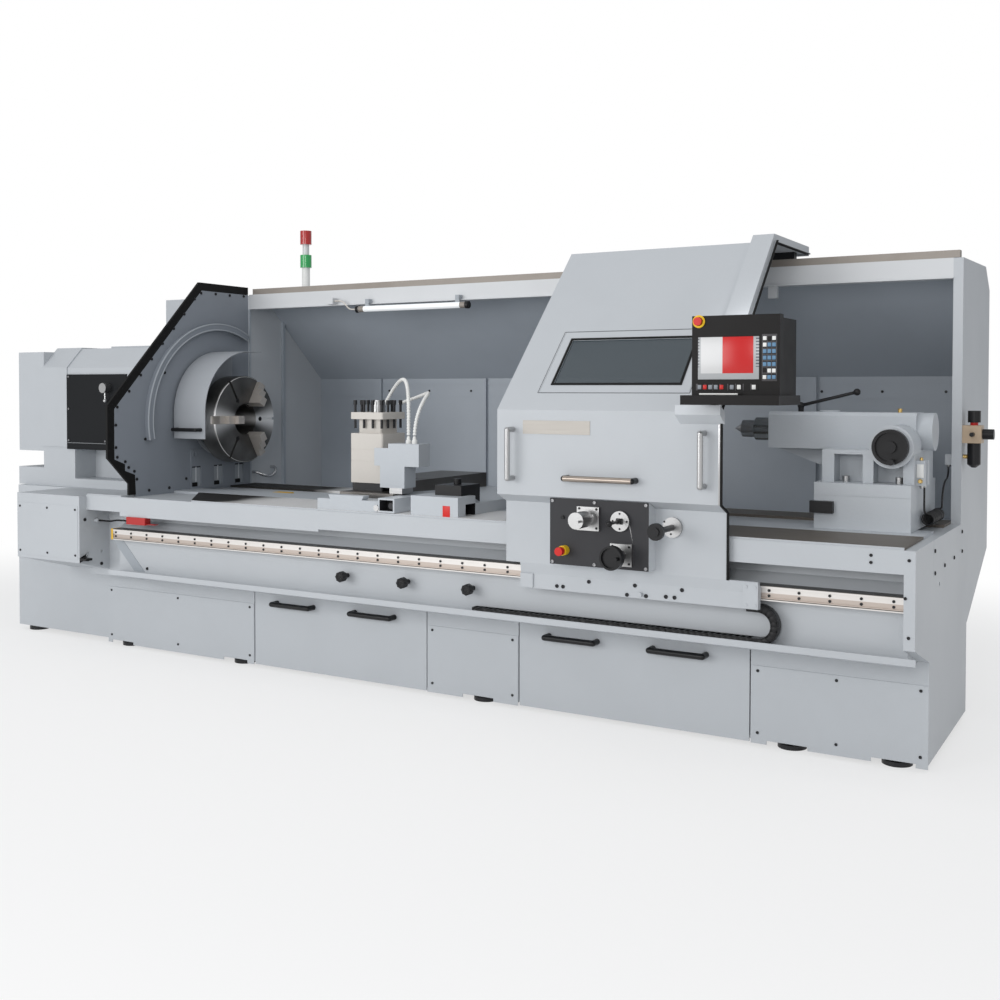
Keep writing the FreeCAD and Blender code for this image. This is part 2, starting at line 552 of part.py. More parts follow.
def left_cabinet():
    cabinet = block("cabinet", ("cabinet_left", "base_left"), ("cabinet_front", "base_back"),
                    ("cabinet_bottom", "bed_top"))
    front_box = profile("front_box", "YZ", [
        ("box_front", "bed_top"), ("box_front", "box_bottom"),
        ("cabinet_front", "box_slope_end"), ("cabinet_front", "bed_top")],
        "box_left", "box_right")
    room = block("room_for_bed", ("base_left", "box_right + 1"), ("bed_front", "cabinet_front + 1"),
                 ("box_slope_end - 1", "bed_top + 1"))
    lid = block("lid", ("box_left + lid_margin / 2", "box_right - lid_margin"),
                ("box_front - 2", "box_front"), ("lid_bottom", "lid_top"))
    latch = block("latch", ("box_right", "box_right + latch_length"),
                  ("box_front", "box_front + latch_depth"),
                  ("box_bottom + 14", "box_bottom + 14 + latch_height"))
    gland = rod("gland", "x", "gland_radius", "gland_length", "box_right", "gland_back",
                "gland_height")
    end_block = block("end_block", ("end_cover_left", "cabinet_left"),
                      ("headstock_front", "headstock_back"), ("bed_top", "end_block_top"))
    holes = [rod("hole_%d" % number, "x", 8, 7, "box_right - 6", y, z)
             for number, (y, z) in enumerate(((-707, 741), (-688, 560), (-595, 560)))]
    tray = block("end_shelf", ("cabinet_left", "headstock_left"),
                 ("headstock_front", "headstock_back"), ("bed_top", "end_block_top"))
    shape = join("cabinet_shell", cabinet, cut("fitted_box", front_box, room), lid, latch, gland,
                 end_block, tray)
    return cut("left_cabinet", shape, *holes)


def bed():
    return block("bed", ("base_left", "housing_inside"), ("bed_front", "base_back"),
                 ("base_top", "bed_top"))


def bed_ways():
    face = "fascia_face + fascia_sheet"
    front = profile("front_way", "XY", [
        ("way_end_front", face), ("way_end_shoulder", "way_end_shoulder_back"),
        ("way_end_left", "front_way_back"), ("housing_inside", "front_way_back"),
        ("housing_inside", face)], "bed_top", "way_top")
    inner = block("inner_way", ("plate_face", "housing_inside"),
                  ("front_way_back + way_groove", "inner_way_back"), ("bed_top", "way_top"))
    rear = block("rear_way", ("plate_face", "housing_inside"), ("rear_way_front", "rear_way_back"),
                 ("bed_top", "way_top"))
    return group("bed_ways", front, inner, rear)


def bed_front_cover():
    apron = profile("apron", "YZ", [
        ("apron_face", "tray_floor"), ("apron_face", "ledge_low"), ("ledge_back", "ledge_high"),
        ("ledge_back", "bed_top"), ("bed_front", "bed_top"), ("bed_front", "tray_floor")],
        "rail_left - end_stop", "housing_inside")
    tray = profile("tray", "YZ", [
        ("tray_front", "tray_lip_bottom"), ("tray_front", "tray_lip_top"),
        ("tray_front + lip_sheet", "tray_lip_top"), ("tray_front + lip_sheet", "tray_floor"),
        ("bed_front", "tray_floor"), ("bed_front", "base_top")],
        "tray_left", "housing_inside")
    lip = block("lip_end", ("housing_inside", "base_right"),
                ("tray_front", "tray_front + lip_sheet"), ("tray_lip_bottom", "tray_lip_top"))
    shelf = block("way_shelf", ("plate_face", "way_end_front"),
                  ("fascia_face + fascia_sheet", "ledge_back"), ("bed_top - shelf_sheet", "bed_top"))
    stems = [rod("stem_bore_%d" % number, "y", "knob_stem + fit_gap", "knob_reach",
                 "knob_first + %d * knob_pitch" % number, "apron_face - 1", "knob_height")
             for number in range(3)]
    return cut("bed_front_cover", join("apron_and_tray", apron, tray, lip, shelf), *stems)


def guide_rail():
    rail = block("rail", ("rail_left", "housing_inside - 2"), ("rail_face", "apron_face"),
                 ("rail_bottom", "rail_top"))
    groove = block("groove", ("rail_left - 1", "housing_inside"),
                   ("rail_face - 1", "rail_face + rail_groove"),
                   ("rail_bottom + rail_land", "rail_top - rail_land"))
    stop = block("stop", ("rail_left - end_stop", "rail_left"), ("rail_face", "apron_face"),
                 ("rail_bottom", "rail_top"))
    return group("guide_rail", cut("grooved_rail", rail, groove), stop)


def fascia():
    left = profile("fascia_left", "XZ", [
        ("box_right", "fascia_step_bottom"), ("fascia_step", "fascia_step_bottom"),
        ("fascia_step", "fascia_left_bottom"), ("fascia_joint", "fascia_left_bottom"),
        ("fascia_joint", "fascia_left_top"), ("box_right", "fascia_left_top")],
        "fascia_face", "fascia_face + fascia_sheet")
    right = block("fascia_right", ("fascia_joint", "housing_inside"),
                  ("fascia_face", "fascia_face + fascia_sheet"), ("fascia_bottom", "fascia_top"))
    return group("fascia", left, right)


def right_housing():
    slab = profile("slab", "YZ", [
        ("fascia_face", "housing_toe"), ("fascia_face", "housing_shelf"),
        ("beam_front", "housing_shelf"), ("beam_front", "roof_edge"), ("roof_back", "roof_top"),
        ("machine_back", "back_shoulder"), ("machine_back", "housing_hip"),
        ("housing_heel", "housing_heel_height"), ("base_back", "base_top"),
        ("base_front", "base_top")], "housing_inside", "base_right")
    seam = block("seam", ("base_right - 2", "base_right + 1"),
                 ("headstock_front", "headstock_front + 3"), ("seam_height + 400", "housing_shelf + 1"))
    slot = rod("slot", "x", "port_radius", 13, "base_right - 12", "port_back", "port_height")
    plug = block("air_plug", ("housing_inside - 30", "housing_inside"), ("plug_back - 14", "plug_back + 14"),
                 ("plug_height", "plug_height + 44"))
    return cut("right_housing", join("housing_and_plug", slab, plug), seam, slot)


def roof_line(back):
    """Height of the sloping roof at a given Y."""
    return "(roof_edge + (roof_top - roof_edge) * ((%s) - beam_front) / (roof_back - beam_front))" % back


def enclosure_walls():
    seam_back = "(beam_front + beam_depth)"
    rear = profile("rear", "YZ", [
        ("base_back", "trough_under"), ("base_back", "trough_floor"), ("wall_front", "trough_floor"),
        ("wall_front", "seam_top"), ("slope_front", "slope_top"), (seam_back, "slope_top"),
        (seam_back, roof_line(seam_back)), ("roof_back", "roof_top"),
        ("machine_back", "back_shoulder"), ("machine_back", "housing_hip"),
        ("wall_front", "trough_under")], "plate_face", "housing_inside")
    end_wall = profile("end_wall", "YZ", [
        ("nose_plate_back", "bed_top"), ("base_back", "bed_top"), ("base_back", "trough_under"),
        ("machine_back", "trough_under"), ("machine_back", "back_shoulder"),
        ("roof_back", "roof_top"), (seam_back, roof_line(seam_back)), (seam_back, "beam_bottom"),
        ("nose_plate_back", "beam_bottom")], "plate_face - 20", "plate_face")
    box = profile("rear_box", "YZ", [
        ("base_back", "rear_box_bottom"), ("base_back", "bed_top"), ("rear_box_front", "bed_top"),
        ("rear_box_front", roof_line("rear_box_front")), ("roof_back", "roof_top"),
        ("machine_back", "back_shoulder"), ("machine_back", "rear_box_bottom")],
        "rear_box_left", "plate_face - 20")
    posts = []
    for number, left in enumerate(("post_first - 30", "post_first + post_pitch - 30",
                                   "post_third - wall_post_width / 2")):
        posts.append(block("post_%d" % number, (left, left + " + wall_post_width"),
                           ("wall_front - wall_post_depth", "wall_front"),
                           ("trough_floor", "seam_top")))
    bands = [block("band_%d" % number, ("plate_face", "housing_inside"),
                   ("wall_front - 4", "wall_front"), (low, low + " + 6"))
             for number, low in enumerate(("seam_top - 36", "seam_top - 110"))]
    rib = block("rib", ("plate_face", "plate_face + 18"), ("rib_back", "rib_back + rib_width"),
                ("trough_floor", "slope_top - 60"))
    strip = block("strip", ("plate_face", "plate_face + 8"), ("nose_plate_back + 4", "beam_front + 12"),
                  ("bed_top", "beam_bottom"))
    room = block("room_for_way", ("plate_face - 1", "plate_face + 9"),
                 ("nose_plate_back", "rear_way_back"), ("bed_top - 1", "way_top"))
    return join("enclosure_walls", rear, end_wall, box, *posts, *bands, rib,
                cut("cut_strip", strip, room))


def roof_beam():
    beam = block("beam", ("plate_face", "housing_inside"), ("beam_front", "beam_front + beam_depth"),
                 ("beam_bottom", "roof_edge"))
    room = block("room_for_rear", ("plate_face - 1", "housing_inside + 1"),
                 ("beam_front + beam_depth - 0.01", "beam_front + beam_depth + 1"),
                 ("beam_bottom - 1", "roof_edge + 1"))
    lip = block("lip", ("plate_face + 20", "housing_inside"), ("beam_front - beam_lip", "beam_front"),
                ("beam_bottom", "beam_bottom + beam_lip_drop"))
    rail = block("roof_rail", ("roof_rail_left", "roof_rail_right"),
                 ("roof_rail_front", "roof_rail_back"), ("roof_edge", "roof_edge + roof_rail_height"))
    gland = block("cable_box", ("lamp_left - 202", "lamp_left - 158"), ("beam_front - 45", "beam_front"),
                  ("lamp_height + 34", "lamp_height + 68"))
    bracket = block("beam_bracket", ("post_third - 20", "post_third + 20"),
                    ("beam_front + 8", "beam_front + 38"), ("beam_bottom - 54", "beam_bottom"))
    room_two = block("room_for_housing", ("housing_inside", "roof_rail_right + 1"),
                     ("roof_rail_front - 1", "roof_rail_back + 1"), ("roof_edge - 1", "roof_edge + 2"))
    return cut("roof_beam", join("beam_pieces", beam, lip, cut("fitted_rail", rail, room_two), gland,
                                 bracket), room)


def splash_plate():
    knee = rake_height("plate_edge", "guard_sheet + seal_gap + seal_width")
    crest = rake_back("plate_top", "guard_sheet + seal_gap + seal_width")
    plate = profile("plate", "YZ", [
        (crest, "plate_top"), ("nose_plate_back", "plate_top"), ("nose_plate_back", "bed_top"),
        ("apron_face + 16", "bed_top"), ("apron_face + 16", "way_top"),
        ("plate_foot_back", "plate_foot_top"), ("plate_step_back", "plate_step_low"), ("plate_step_back", "plate_step_top"),
        ("plate_edge", "plate_corner"), ("plate_edge", knee)], "plate_face - 12", "plate_face")
    arc = sector("arc_ridge", "ridge_radius", "ridge_radius - ridge_width", "ridge_height",
                 "plate_face", "ridge_start", "ridge_sweep")
    nose = block("nose_plate", ("plate_face", "plate_face + nose_plate_sheet"),
                 ("nose_plate_front", "nose_plate_back"), ("way_top", "way_top + nose_plate_height"))
    collar = rod("collar", "x", "nose_collar", "nose_collar_reach", "plate_face", "spindle_back",
                 SPINDLE_Z)
    slots = []
    for number in range(3):
        front = "nose_slot_first + %d * nose_slot_pitch" % number
        slots.append(block("nose_slot_%d" % number, ("plate_face", "plate_face + 9"),
                           (front, front + " + nose_slot_width"),
                           ("way_top + nose_slot_rise",
                            "way_top + nose_slot_rise + nose_slot_height")))
    inside = rod("collar_inside", "x", "nose_collar - nose_collar_wall", "nose_collar_reach + 1",
                 "plate_face", "spindle_back", SPINDLE_Z)
    bore = rod("plate_bore", "x", "nose_radius + running_gap", 20, "plate_face - 14", "spindle_back",
               SPINDLE_Z)
    eye_height = "way_top + nose_plate_height - eye_drop"
    eye = rod("eye", "x", "eye_radius", "nose_plate_sheet + 4", "plate_face", "eye_back", eye_height)
    eye_hole = rod("eye_hole", "x", "eye_radius - 6", 9, "plate_face + 4", "eye_back", eye_height)
    whole = join("plate_pieces", plate, arc, nose, collar, eye)
    return cut("splash_plate", whole, inside, bore, eye_hole, *slots)


def splash_seal():
    knee = rake_height(SEAL_EDGE, "guard_sheet + seal_gap")
    crest = rake_back("plate_top + seal_width", "guard_sheet + seal_gap")
    inner_knee = rake_height("plate_edge", "guard_sheet + seal_gap + seal_width")
    inner_crest = rake_back("plate_top", "guard_sheet + seal_gap + seal_width")
    band = profile("seal_band", "YZ", [
        (SEAL_EDGE, knee), (SEAL_EDGE, "plate_corner + 8"), ("apron_face - 31", "plate_foot_top - 45"),
        ("apron_face - 31", "way_top"), ("apron_face + 16", "way_top"),
        ("plate_foot_back", "plate_foot_top"), ("plate_step_back", "plate_step_low"),
        ("plate_step_back", "plate_step_top"), ("plate_edge", "plate_corner"),
        ("plate_edge", inner_knee), (inner_crest, "plate_top"), ("nose_plate_back", "plate_top"),
        ("nose_plate_back", "plate_top + seal_width"), (crest, "plate_top + seal_width")],
        "plate_face - seal_depth", "plate_face")
    room = block("room_for_beam", ("plate_face - 20", "plate_face + 1"),
                 ("beam_front - 6", "beam_front + 1"), ("beam_bottom - 60", "roof_edge + 1"))
    blocks = []
    for number in range(3):
        front = "nose_slot_first + %d * nose_slot_pitch" % number
        blocks.append(block("nose_block_%d" % number, ("plate_face", "plate_face + 10"),
                            (front, front + " + nose_block_width"),
                            ("way_top + nose_slot_rise",
                             "way_top + nose_slot_rise + nose_block_height")))
    return group("splash_seal", cut("fitted_band", band, room), *blocks)


def headstock():
    front_end = "plate_face - 12"
    house = profile("house", "YZ", [
        ("headstock_front", "bed_top"), ("headstock_front", "headstock_eave"),
        ("bevel_back", "headstock_top"), ("headstock_back", "headstock_top"),
        ("headstock_back", "bed_top")], "headstock_left", front_end)
    foot = block("headstock_foot", ("box_right", front_end),
                 ("fascia_face + fascia_sheet", "headstock_front"), ("bed_top", "way_top"))
    tall = profile("tall_cover", "YZ", [
        ("headstock_front - 6", "recess_top + 12"), ("headstock_front - 6", "headstock_eave + 4"),
        ("bevel_back - 4", "tall_cover_top"), ("headstock_back", "tall_cover_top"),
        ("headstock_back", "recess_top + 12")], "headstock_left - 4", "tall_cover_right")
    end = block("end_cover", ("end_cover_left", "headstock_left"),
                ("headstock_front + 4", "headstock_back"), ("end_cover_bottom", "end_cover_top"))
    bar = block("ridge_bar", ("ridge_bar_left", "ridge_bar_right"),
                ("ridge_bar_front", "ridge_bar_front + ridge_bar_width"),
                ("headstock_top", "headstock_top + ridge_bar_height"))
    recess = block("recess", ("recess_left", "gear_panel_right"),
                   ("headstock_front - 1", "headstock_front + recess_depth"),
                   ("recess_bottom", "recess_top"))
    bore = rod("spindle_bore", "x", "nose_radius + fit_gap", "nose_length + 20",
               "plate_face - nose_length - 16", "spindle_back", SPINDLE_Z)
    room = block("room_for_end_wall", ("plate_face - 20", "plate_face - 11"),
                 ("nose_plate_back", "headstock_back + 1"), ("bed_top - 1", "headstock_top + 1"))
    return cut("headstock", join("headstock_pieces", house, foot, tall, end, bar), recess, bore, room)


def gear_panel():
    panel = block("panel", ("tall_cover_right", "gear_panel_right"),
                  ("headstock_front - gear_panel_sheet", "headstock_front"),
                  ("gear_panel_bottom", "gear_panel_top"))
    lower = block("panel_lower", ("tall_cover_right", "gear_panel_right"),
                  ("headstock_front - gear_panel_sheet", "headstock_front"),
                  ("recess_top", "gear_panel_bottom - 4"))
    bore = rod("lever_bore", "y", "lever_rod + fit_gap", "gear_panel_sheet + 2", "lever_across",
               "headstock_front - gear_panel_sheet - 1", "lever_height")
    return cut("gear_panel", group("panel_pieces", panel, lower), bore)


def speed_lever():
    face = "headstock_front - gear_panel_sheet - running_gap"
    hub = rod("hub", "y", "lever_hub", "lever_hub_reach", "lever_across",
              face + " - lever_hub_reach", "lever_height")
    pin = rod("hub_pin", "y", "lever_rod", "gear_panel_sheet - 1", "lever_across",
              face + " - 1", "lever_height")
    arm = rod("arm", "z", "lever_rod", "lever_arm", "lever_across",
              face + " - lever_hub_reach / 2", "lever_height - lever_arm")
    knob = ball("arm_ball", "lever_ball", "lever_across", face + " - lever_hub_reach / 2",
                "lever_height - lever_arm")
    return join("speed_lever", hub, pin, arm, knob)


def door_switch():
    body = block("switch_body", ("switch_left", "switch_right"), ("switch_front", "switch_back"),
                 ("switch_bottom", "switch_top"))
    room = block("room_for_fascia", ("switch_left - 1", "switch_right + 1"),
                 ("fascia_face - 0.01", "fascia_face + fascia_sheet + 30"),
                 ("fascia_left_bottom", "switch_top + 1"))
    tip = block("actuator", ("switch_right", "actuator_right"), ("switch_front + 8", "switch_back - 8"),
                ("switch_bottom + 4", "actuator_top"))
    return join("door_switch", cut("fitted_switch", body, room), tip)


def lamp():
    glass = rod("lamp_tube", "x", "lamp_radius", "lamp_right - lamp_left", "lamp_left", "lamp_back",
                "lamp_height")
    caps = [rod("lamp_cap_%d" % number, "x", "lamp_radius + lamp_cap", "lamp_cap_length", left,
                "lamp_back", "lamp_height")
            for number, left in enumerate(("lamp_left", "lamp_right - lamp_cap_length"))]
    clips = []
    for number, left in enumerate(("lamp_left + 60", "lamp_right - 60 - lamp_clip")):
        arm = block("clip_arm_%d" % number, (left, left + " + lamp_clip"),
                    ("lamp_back", "beam_front"), ("beam_bottom + beam_lip_drop", "beam_bottom + 26"))
        drop = block("clip_drop_%d" % number, (left, left + " + lamp_clip"),
                     ("lamp_back - 4", "lamp_back + 4"), ("lamp_height", "beam_bottom + 26"))
        clips += [arm, drop]
    return join("lamp", glass, *caps, *clips)


def signal_tower():
    front = "tower_back - tower_flange"
    rear = "tower_back + tower_flange"
    pad = profile("tower_pad", "YZ", [
        (front, roof_line(front)), (rear, roof_line(rear)), (rear, "roof_top + tower_flange_height"),
        (front, "roof_top + tower_flange_height")],
        "tower_across - tower_flange", "tower_across + tower_flange")
    start = "roof_top + tower_flange_height"
    pole = rod("pole", "z", "tower_pole", "tower_pole_top - (%s)" % start, "tower_across",
               "tower_back", start)
    green = rod("green_lens", "z", "tower_lens", "tower_lens_length", "tower_across", "tower_back",
                "tower_pole_top")
    neck = rod("clear_neck", "z", "tower_neck", "tower_neck_length", "tower_across", "tower_back",
               "tower_pole_top + tower_lens_length")
    red_low = "tower_pole_top + tower_lens_length + tower_neck_length"
    red = rod("red_lens", "z", "tower_lens", "tower_top - (%s)" % red_low, "tower_across",
              "tower_back", red_low)
    return group("signal_tower", join("tower_stand", pad, pole), green, neck, red)


def air_unit():
    middle = "base_right + air_width / 2 + 2"
    body = block("air_body", ("base_right", "base_right + air_reach"),
                 ("air_back - air_width / 2", "air_back + air_width / 2"), ("air_bottom", "air_top"))
    bowl = rod("bowl", "z", "bowl_radius", "air_bottom - bowl_bottom - bowl_radius / 2", middle,
               "air_back", "bowl_bottom + bowl_radius / 2")
    tip = cone("bowl_tip", "z", "bowl_radius / 3", "bowl_radius", "bowl_radius / 2", middle, "air_back",
               "bowl_bottom")
    neck = rod("air_neck", "z", "air_neck_radius", "air_neck", middle, "air_back", "air_top")
    dial = rod("dial", "x", "dial_radius", "dial_right - base_right - air_reach",
               "base_right + air_reach", "air_back", "(air_bottom + air_top) / 2")
    elbow = rod("elbow", "y", "elbow_radius", "air_back - air_width / 2 - elbow_front", middle,
                "elbow_front", "(air_bottom + air_top) / 2")
    stem_bore = rod("knob_bore", "z", 6.05, 30, middle, "air_back", "air_top - 10")
    return cut("air_unit", join("air_pieces", body, bowl, tip, neck, dial, elbow), stem_bore)


def air_knob():
    middle = "base_right + air_width / 2 + 2"
    low = "air_top + air_neck + running_gap"
    cap = rod("air_cap", "z", "air_knob_radius", "air_knob_top - (%s)" % low, middle, "air_back", low)
    stem = rod("air_stem", "z", 6, 14, middle, "air_back", low + " - 12")
    return join("air_knob", cap, stem)


def coolant_pipe():
    stations = ((0, 0, 0), (34, 0, 0), (64, 30, -20), (70, 82, -28), (62, 134, -4), (34, 160, 22),
                (0, 160, 22))
    origin = FreeCAD.Vector(size("plate_face"), size("beam_front") + 32, size("way_top") + 66)
    points = [origin + FreeCAD.Vector(*station) for station in stations]
    return tube("coolant_pipe", points, size("pipe_radius"), largest_bends(points))


def switch_cable():
    start = FreeCAD.Vector(size("box_right + gland_length"), size("gland_back"), size("gland_height"))
    end = FreeCAD.Vector(size("switch_left"), size("switch_front") + 20, size("switch_bottom") + 14)
    points = [start, start + FreeCAD.Vector(88, 0, 0), end - FreeCAD.Vector(88, 0, 0), end]
    return tube("switch_cable", points, 4.5, largest_bends(points))


def lamp_cable():
    start = FreeCAD.Vector(size("lamp_left"), size("lamp_back"), size("lamp_height"))
    points = [start, start + FreeCAD.Vector(-52, 0, 0), start + FreeCAD.Vector(-102, 4, 51),
              start + FreeCAD.Vector(-158, 4, 51)]
    return tube("lamp_cable", points, 4, largest_bends(points))


def chuck():
    rim = "(%s + chuck_chamfer)" % CHUCK_BACK
    body = rod("chuck_body", "x", "chuck_radius", "chuck_depth - 2 * chuck_chamfer", rim,
               "spindle_back", SPINDLE_Z)
    rear = cone("chuck_rear", "x", "chuck_radius - chuck_chamfer", "chuck_radius", "chuck_chamfer",
                CHUCK_BACK, "spindle_back", SPINDLE_Z)
    face = cone("chuck_front", "x", "chuck_radius", "chuck_radius - chuck_chamfer", "chuck_chamfer",
                "chuck_face - chuck_chamfer", "spindle_back", SPINDLE_Z)
    plate = rod("back_plate", "x", "back_plate_radius", CHUCK_BACK + " - plate_face - running_gap",
                "plate_face + running_gap", "spindle_back", SPINDLE_Z)
    nose = rod("spindle_nose", "x", "nose_radius", "nose_length + 1", "plate_face - nose_length",
               "spindle_back", SPINDLE_Z)
    bore = rod("chuck_hole", "x", "chuck_bore", "nose_length + chuck_face - plate_face + 10",
               "plate_face - nose_length - 5", "spindle_back", SPINDLE_Z)
    grooves = []
    for number, angle in enumerate(JAW_ANGLES):
        slot = block("jaw_slot_%d" % number,
                     ("chuck_face - jaw_slot_depth", "chuck_face + 1"), (0, "chuck_radius + 5"),
                     (0, "jaw_width + 2 * running_gap"))
        grooves.append(aim(slot, angle, "chuck_face - jaw_slot_depth",
                           "(jaw_width / 2 + running_gap)"))
        key = block("key_slot_%d" % number, ("chuck_face - key_slot_depth", "chuck_face + 1"),
                    (0, "chuck_radius - key_slot_inner + 5"), (0, "key_slot_width"))
        turn = math.radians(angle + 60)
        aim(key, angle + 60, "chuck_face - key_slot_depth", "key_slot_width / 2")
        y = "spindle_back + %.9f * key_slot_inner + %.9f * key_slot_width / 2" % (
            math.cos(turn), math.sin(turn))
        z = "%s + %.9f * key_slot_inner - %.9f * key_slot_width / 2" % (
            SPINDLE_Z, math.sin(turn), math.cos(turn))
        key.setExpression("Placement.Base.y", cells(y))
        key.setExpression("Placement.Base.z", cells(z))
        grooves.append(key)
    return cut("chuck", join("chuck_pieces", body, rear, face, plate, nose), bore, *grooves)


JAW_ANGLES = (180, 60, -60)


def jaw(name, angle):
    floor = "chuck_face - jaw_slot_depth + running_gap"
    body = profile(name, "XY", [
        (floor, "jaw_inner"), (floor, "jaw_outer"), ("chuck_face + jaw_step_one", "jaw_outer"),
        ("chuck_face + jaw_step_one", "jaw_outer - jaw_step_length"),
        ("chuck_face + jaw_step_two", "jaw_outer - jaw_step_length"),
        ("chuck_face + jaw_step_two", "jaw_outer - 2 * jaw_step_length"),
        ("chuck_face + jaw_step_three", "jaw_outer - 2 * jaw_step_length"),
        ("chuck_face + jaw_step_three", "jaw_inner")], 0, "jaw_width")
    return aim(body, angle, 0, "jaw_width / 2")


def jaw_1():
    return jaw("jaw_1", JAW_ANGLES[0])


def jaw_2():
    return jaw("jaw_2", JAW_ANGLES[1])


def jaw_3():
    return jaw("jaw_3", JAW_ANGLES[2])


def chuck_guard():
    """A quarter hood that runs on into a flat front skirt and a flat tail, with one end wall."""
    inner = "nose_collar + running_gap"
    middle = SPINDLE_Z + " + hood_lift"
    edge = "spindle_back - hood_radius"
    wide = ("hood_left", "hood_right")
    room = ("hood_left + hood_sheet", "hood_right + 1")
    solid = doc.addObject("Part::Cylinder", "hood_solid")
    solid.setExpression("Radius", cells("hood_radius"))
    solid.setExpression("Height", cells("hood_right - hood_left"))
    solid.Angle = 90
    place(solid, "hood_left", "spindle_back", middle, around_spindle(90))
    tail = block("tail", wide, ("spindle_back", "hood_tail"), (middle, middle + " + hood_radius"))
    skirt = block("skirt", wide, (edge, "spindle_back"), (SPINDLE_Z + " - hood_drop", middle))
    heel = block("heel", wide, ("spindle_back - 1", "hood_tail"), (SPINDLE_Z + " - hood_drop", middle))
    hollow = rod("hood_hollow", "x", "hood_radius - hood_sheet", "hood_right - hood_left",
                 "hood_left + hood_sheet", "spindle_back", middle)
    tail_hollow = block("tail_hollow", room, ("spindle_back - 20", "hood_tail + 1"),
                        (SPINDLE_Z + " - hood_drop - 1", middle + " + hood_radius - hood_sheet"))
    skirt_hollow = block("skirt_hollow", room, (edge + " + hood_sheet", "spindle_back + 1"),
                         (SPINDLE_Z + " - hood_drop - 1", middle + " + 1"))
    shell = cut("hood_shell", join("hood_block", solid, tail, skirt, heel), hollow, tail_hollow,
                skirt_hollow)
    hub = rod("guard_hub", "x", inner + " + hood_ring", "hood_sheet", "hood_left", "spindle_back",
              SPINDLE_Z)
    hole = rod("guard_bore", "x", inner, "hood_sheet + 2", "hood_left - 1", "spindle_back", SPINDLE_Z)
    grip = handle("grip", "x", "hood_grip_radius", "hood_grip_reach",
                  "(hood_left + hood_right - hood_grip_span) / 2", edge + " + 2",
                  SPINDLE_Z + " - hood_drop + hood_grip_rise", "hood_grip_span")
    return cut("chuck_guard", join("guard_pieces", shell, hub, grip), hole)


def saddle():
    low = "way_top + running_gap"
    plate = block("saddle_plate", ("saddle_left", "saddle_split"), ("saddle_front", "saddle_back"),
                  (low, "saddle_top"))
    rear = block("saddle_rear", ("saddle_split - 1", "saddle_right"),
                 ("saddle_step_front", "saddle_back"), (low, "saddle_top"))
    nose = profile("saddle_nose", "XZ", [
        ("saddle_nose_left", "saddle_nose_top"), ("saddle_nose_right", "saddle_nose_top"),
        ("saddle_nose_right - saddle_nose_flare", "saddle_top - 1"),
        ("saddle_nose_left + saddle_nose_flare", "saddle_top - 1")],
        "saddle_front", "saddle_nose_back")
    duct = block("duct", ("saddle_split", "saddle_split + duct_width"), ("duct_front", "duct_back"),
                 ("duct_bottom", "duct_top"))
    recess = block("duct_mouth", ("saddle_split + duct_wall", "saddle_split + duct_width - duct_wall"),
                   ("duct_front - 1", "duct_front + duct_recess"),
                   ("duct_bottom + duct_wall", "duct_top - duct_wall"))
    bearing = rod("bearing", "y", "bearing_radius", "duct_recess - 4", "bearing_across",
                  "duct_front + 6", "bearing_height")
    coupling = rod("coupling", "y", "bearing_radius", "duct_width / 2", "coupling_across",
                   "duct_front - 2", "coupling_height")
    gearbox = block("gearbox", ("gearbox_left", "saddle_right"),
                    ("saddle_front", "saddle_step_front + 1"), (low, "gearbox_top"))
    notch = block("gearbox_cut", ("saddle_right - gearbox_notch", "saddle_right + 1"),
                  ("gearbox_notch_front", "saddle_step_front"), (low + " - 1", "gearbox_notch_top"))
    seat = block("motor_seat", ("motor_left", "motor_right"), ("saddle_step_front", "motor_back"),
                 ("saddle_top - 1", "gearbox_top"))
    motor = block("motor", ("motor_left", "motor_right"), ("motor_front", "motor_back"),
                  ("gearbox_top", "motor_top"))
    cap = rod("motor_cap", "z", "motor_cap_radius", "motor_cap + 1", "(motor_left + motor_right) / 2",
              "(motor_front + motor_back) / 2", "motor_top - 1")
    return join("saddle", plate, rear, nose, cut("open_duct", duct, recess), bearing, coupling,
                cut("notched_gearbox", gearbox, notch), seat, motor, cap)


def cross_slide():
    low = "saddle_top + running_gap"
    table = block("table", ("slide_left", "slide_right"), ("slide_front", "slide_split"),
                  (low, "slide_top"))
    cover = block("slide_cover", ("slide_left + 25", "slide_right"),
                  ("slide_split - 1", "slide_cover_back"), (low, "slide_cover_top"))
    wiper = block("wiper", ("slide_left + 25 - wiper_width", "slide_left + 25"),
                  ("slide_split", "slide_cover_back"), (low, "slide_cover_top - 12"))
    upper = block("manifold", ("manifold_left", "manifold_right"),
                  ("manifold_front", "manifold_back"), ("manifold_bottom", "manifold_top"))
    step = block("manifold_step", ("manifold_step_left", "manifold_left + 1"),
                 ("manifold_front", "manifold_step_back"), ("manifold_bottom", "manifold_step_top"))
    lower = block("lower_box", ("lower_box_left", "lower_box_right"),
                  ("manifold_front", "manifold_back"), ("lower_box_bottom", "manifold_bottom + 1"))
    riser = block("riser", ("riser_left", "riser_right"), ("riser_front", "riser_back"),
                  ("slide_top - 1", "lower_box_bottom + 1"))
    shoulder = block("cover_shoulder", ("cover_shoulder_left", "slide_right"),
                     ("cover_shoulder_front", "slide_split"), ("slide_top - 1", "slide_cover_top"))
    bore = rod("turret_bore", "z", "pivot_radius + fit_gap", 60, "turret_across", "turret_back",
               "saddle_top")
    return cut("cross_slide", join("slide_pieces", table, cover, wiper, upper, step, lower, riser,
                                   shoulder),
               bore)


def arch(start, rise, crown, end, count):
    """Points on a smooth arch from start, leaving straight up, to end."""
    points = []
    first = start + FreeCAD.Vector(0, 0, rise)
    for index in range(count + 1):
        t = index / count
        s = 1 - t
        points.append(start * s ** 3 + first * 3 * s * s * t + crown * 3 * s * t * t + end * t ** 3)
    return points


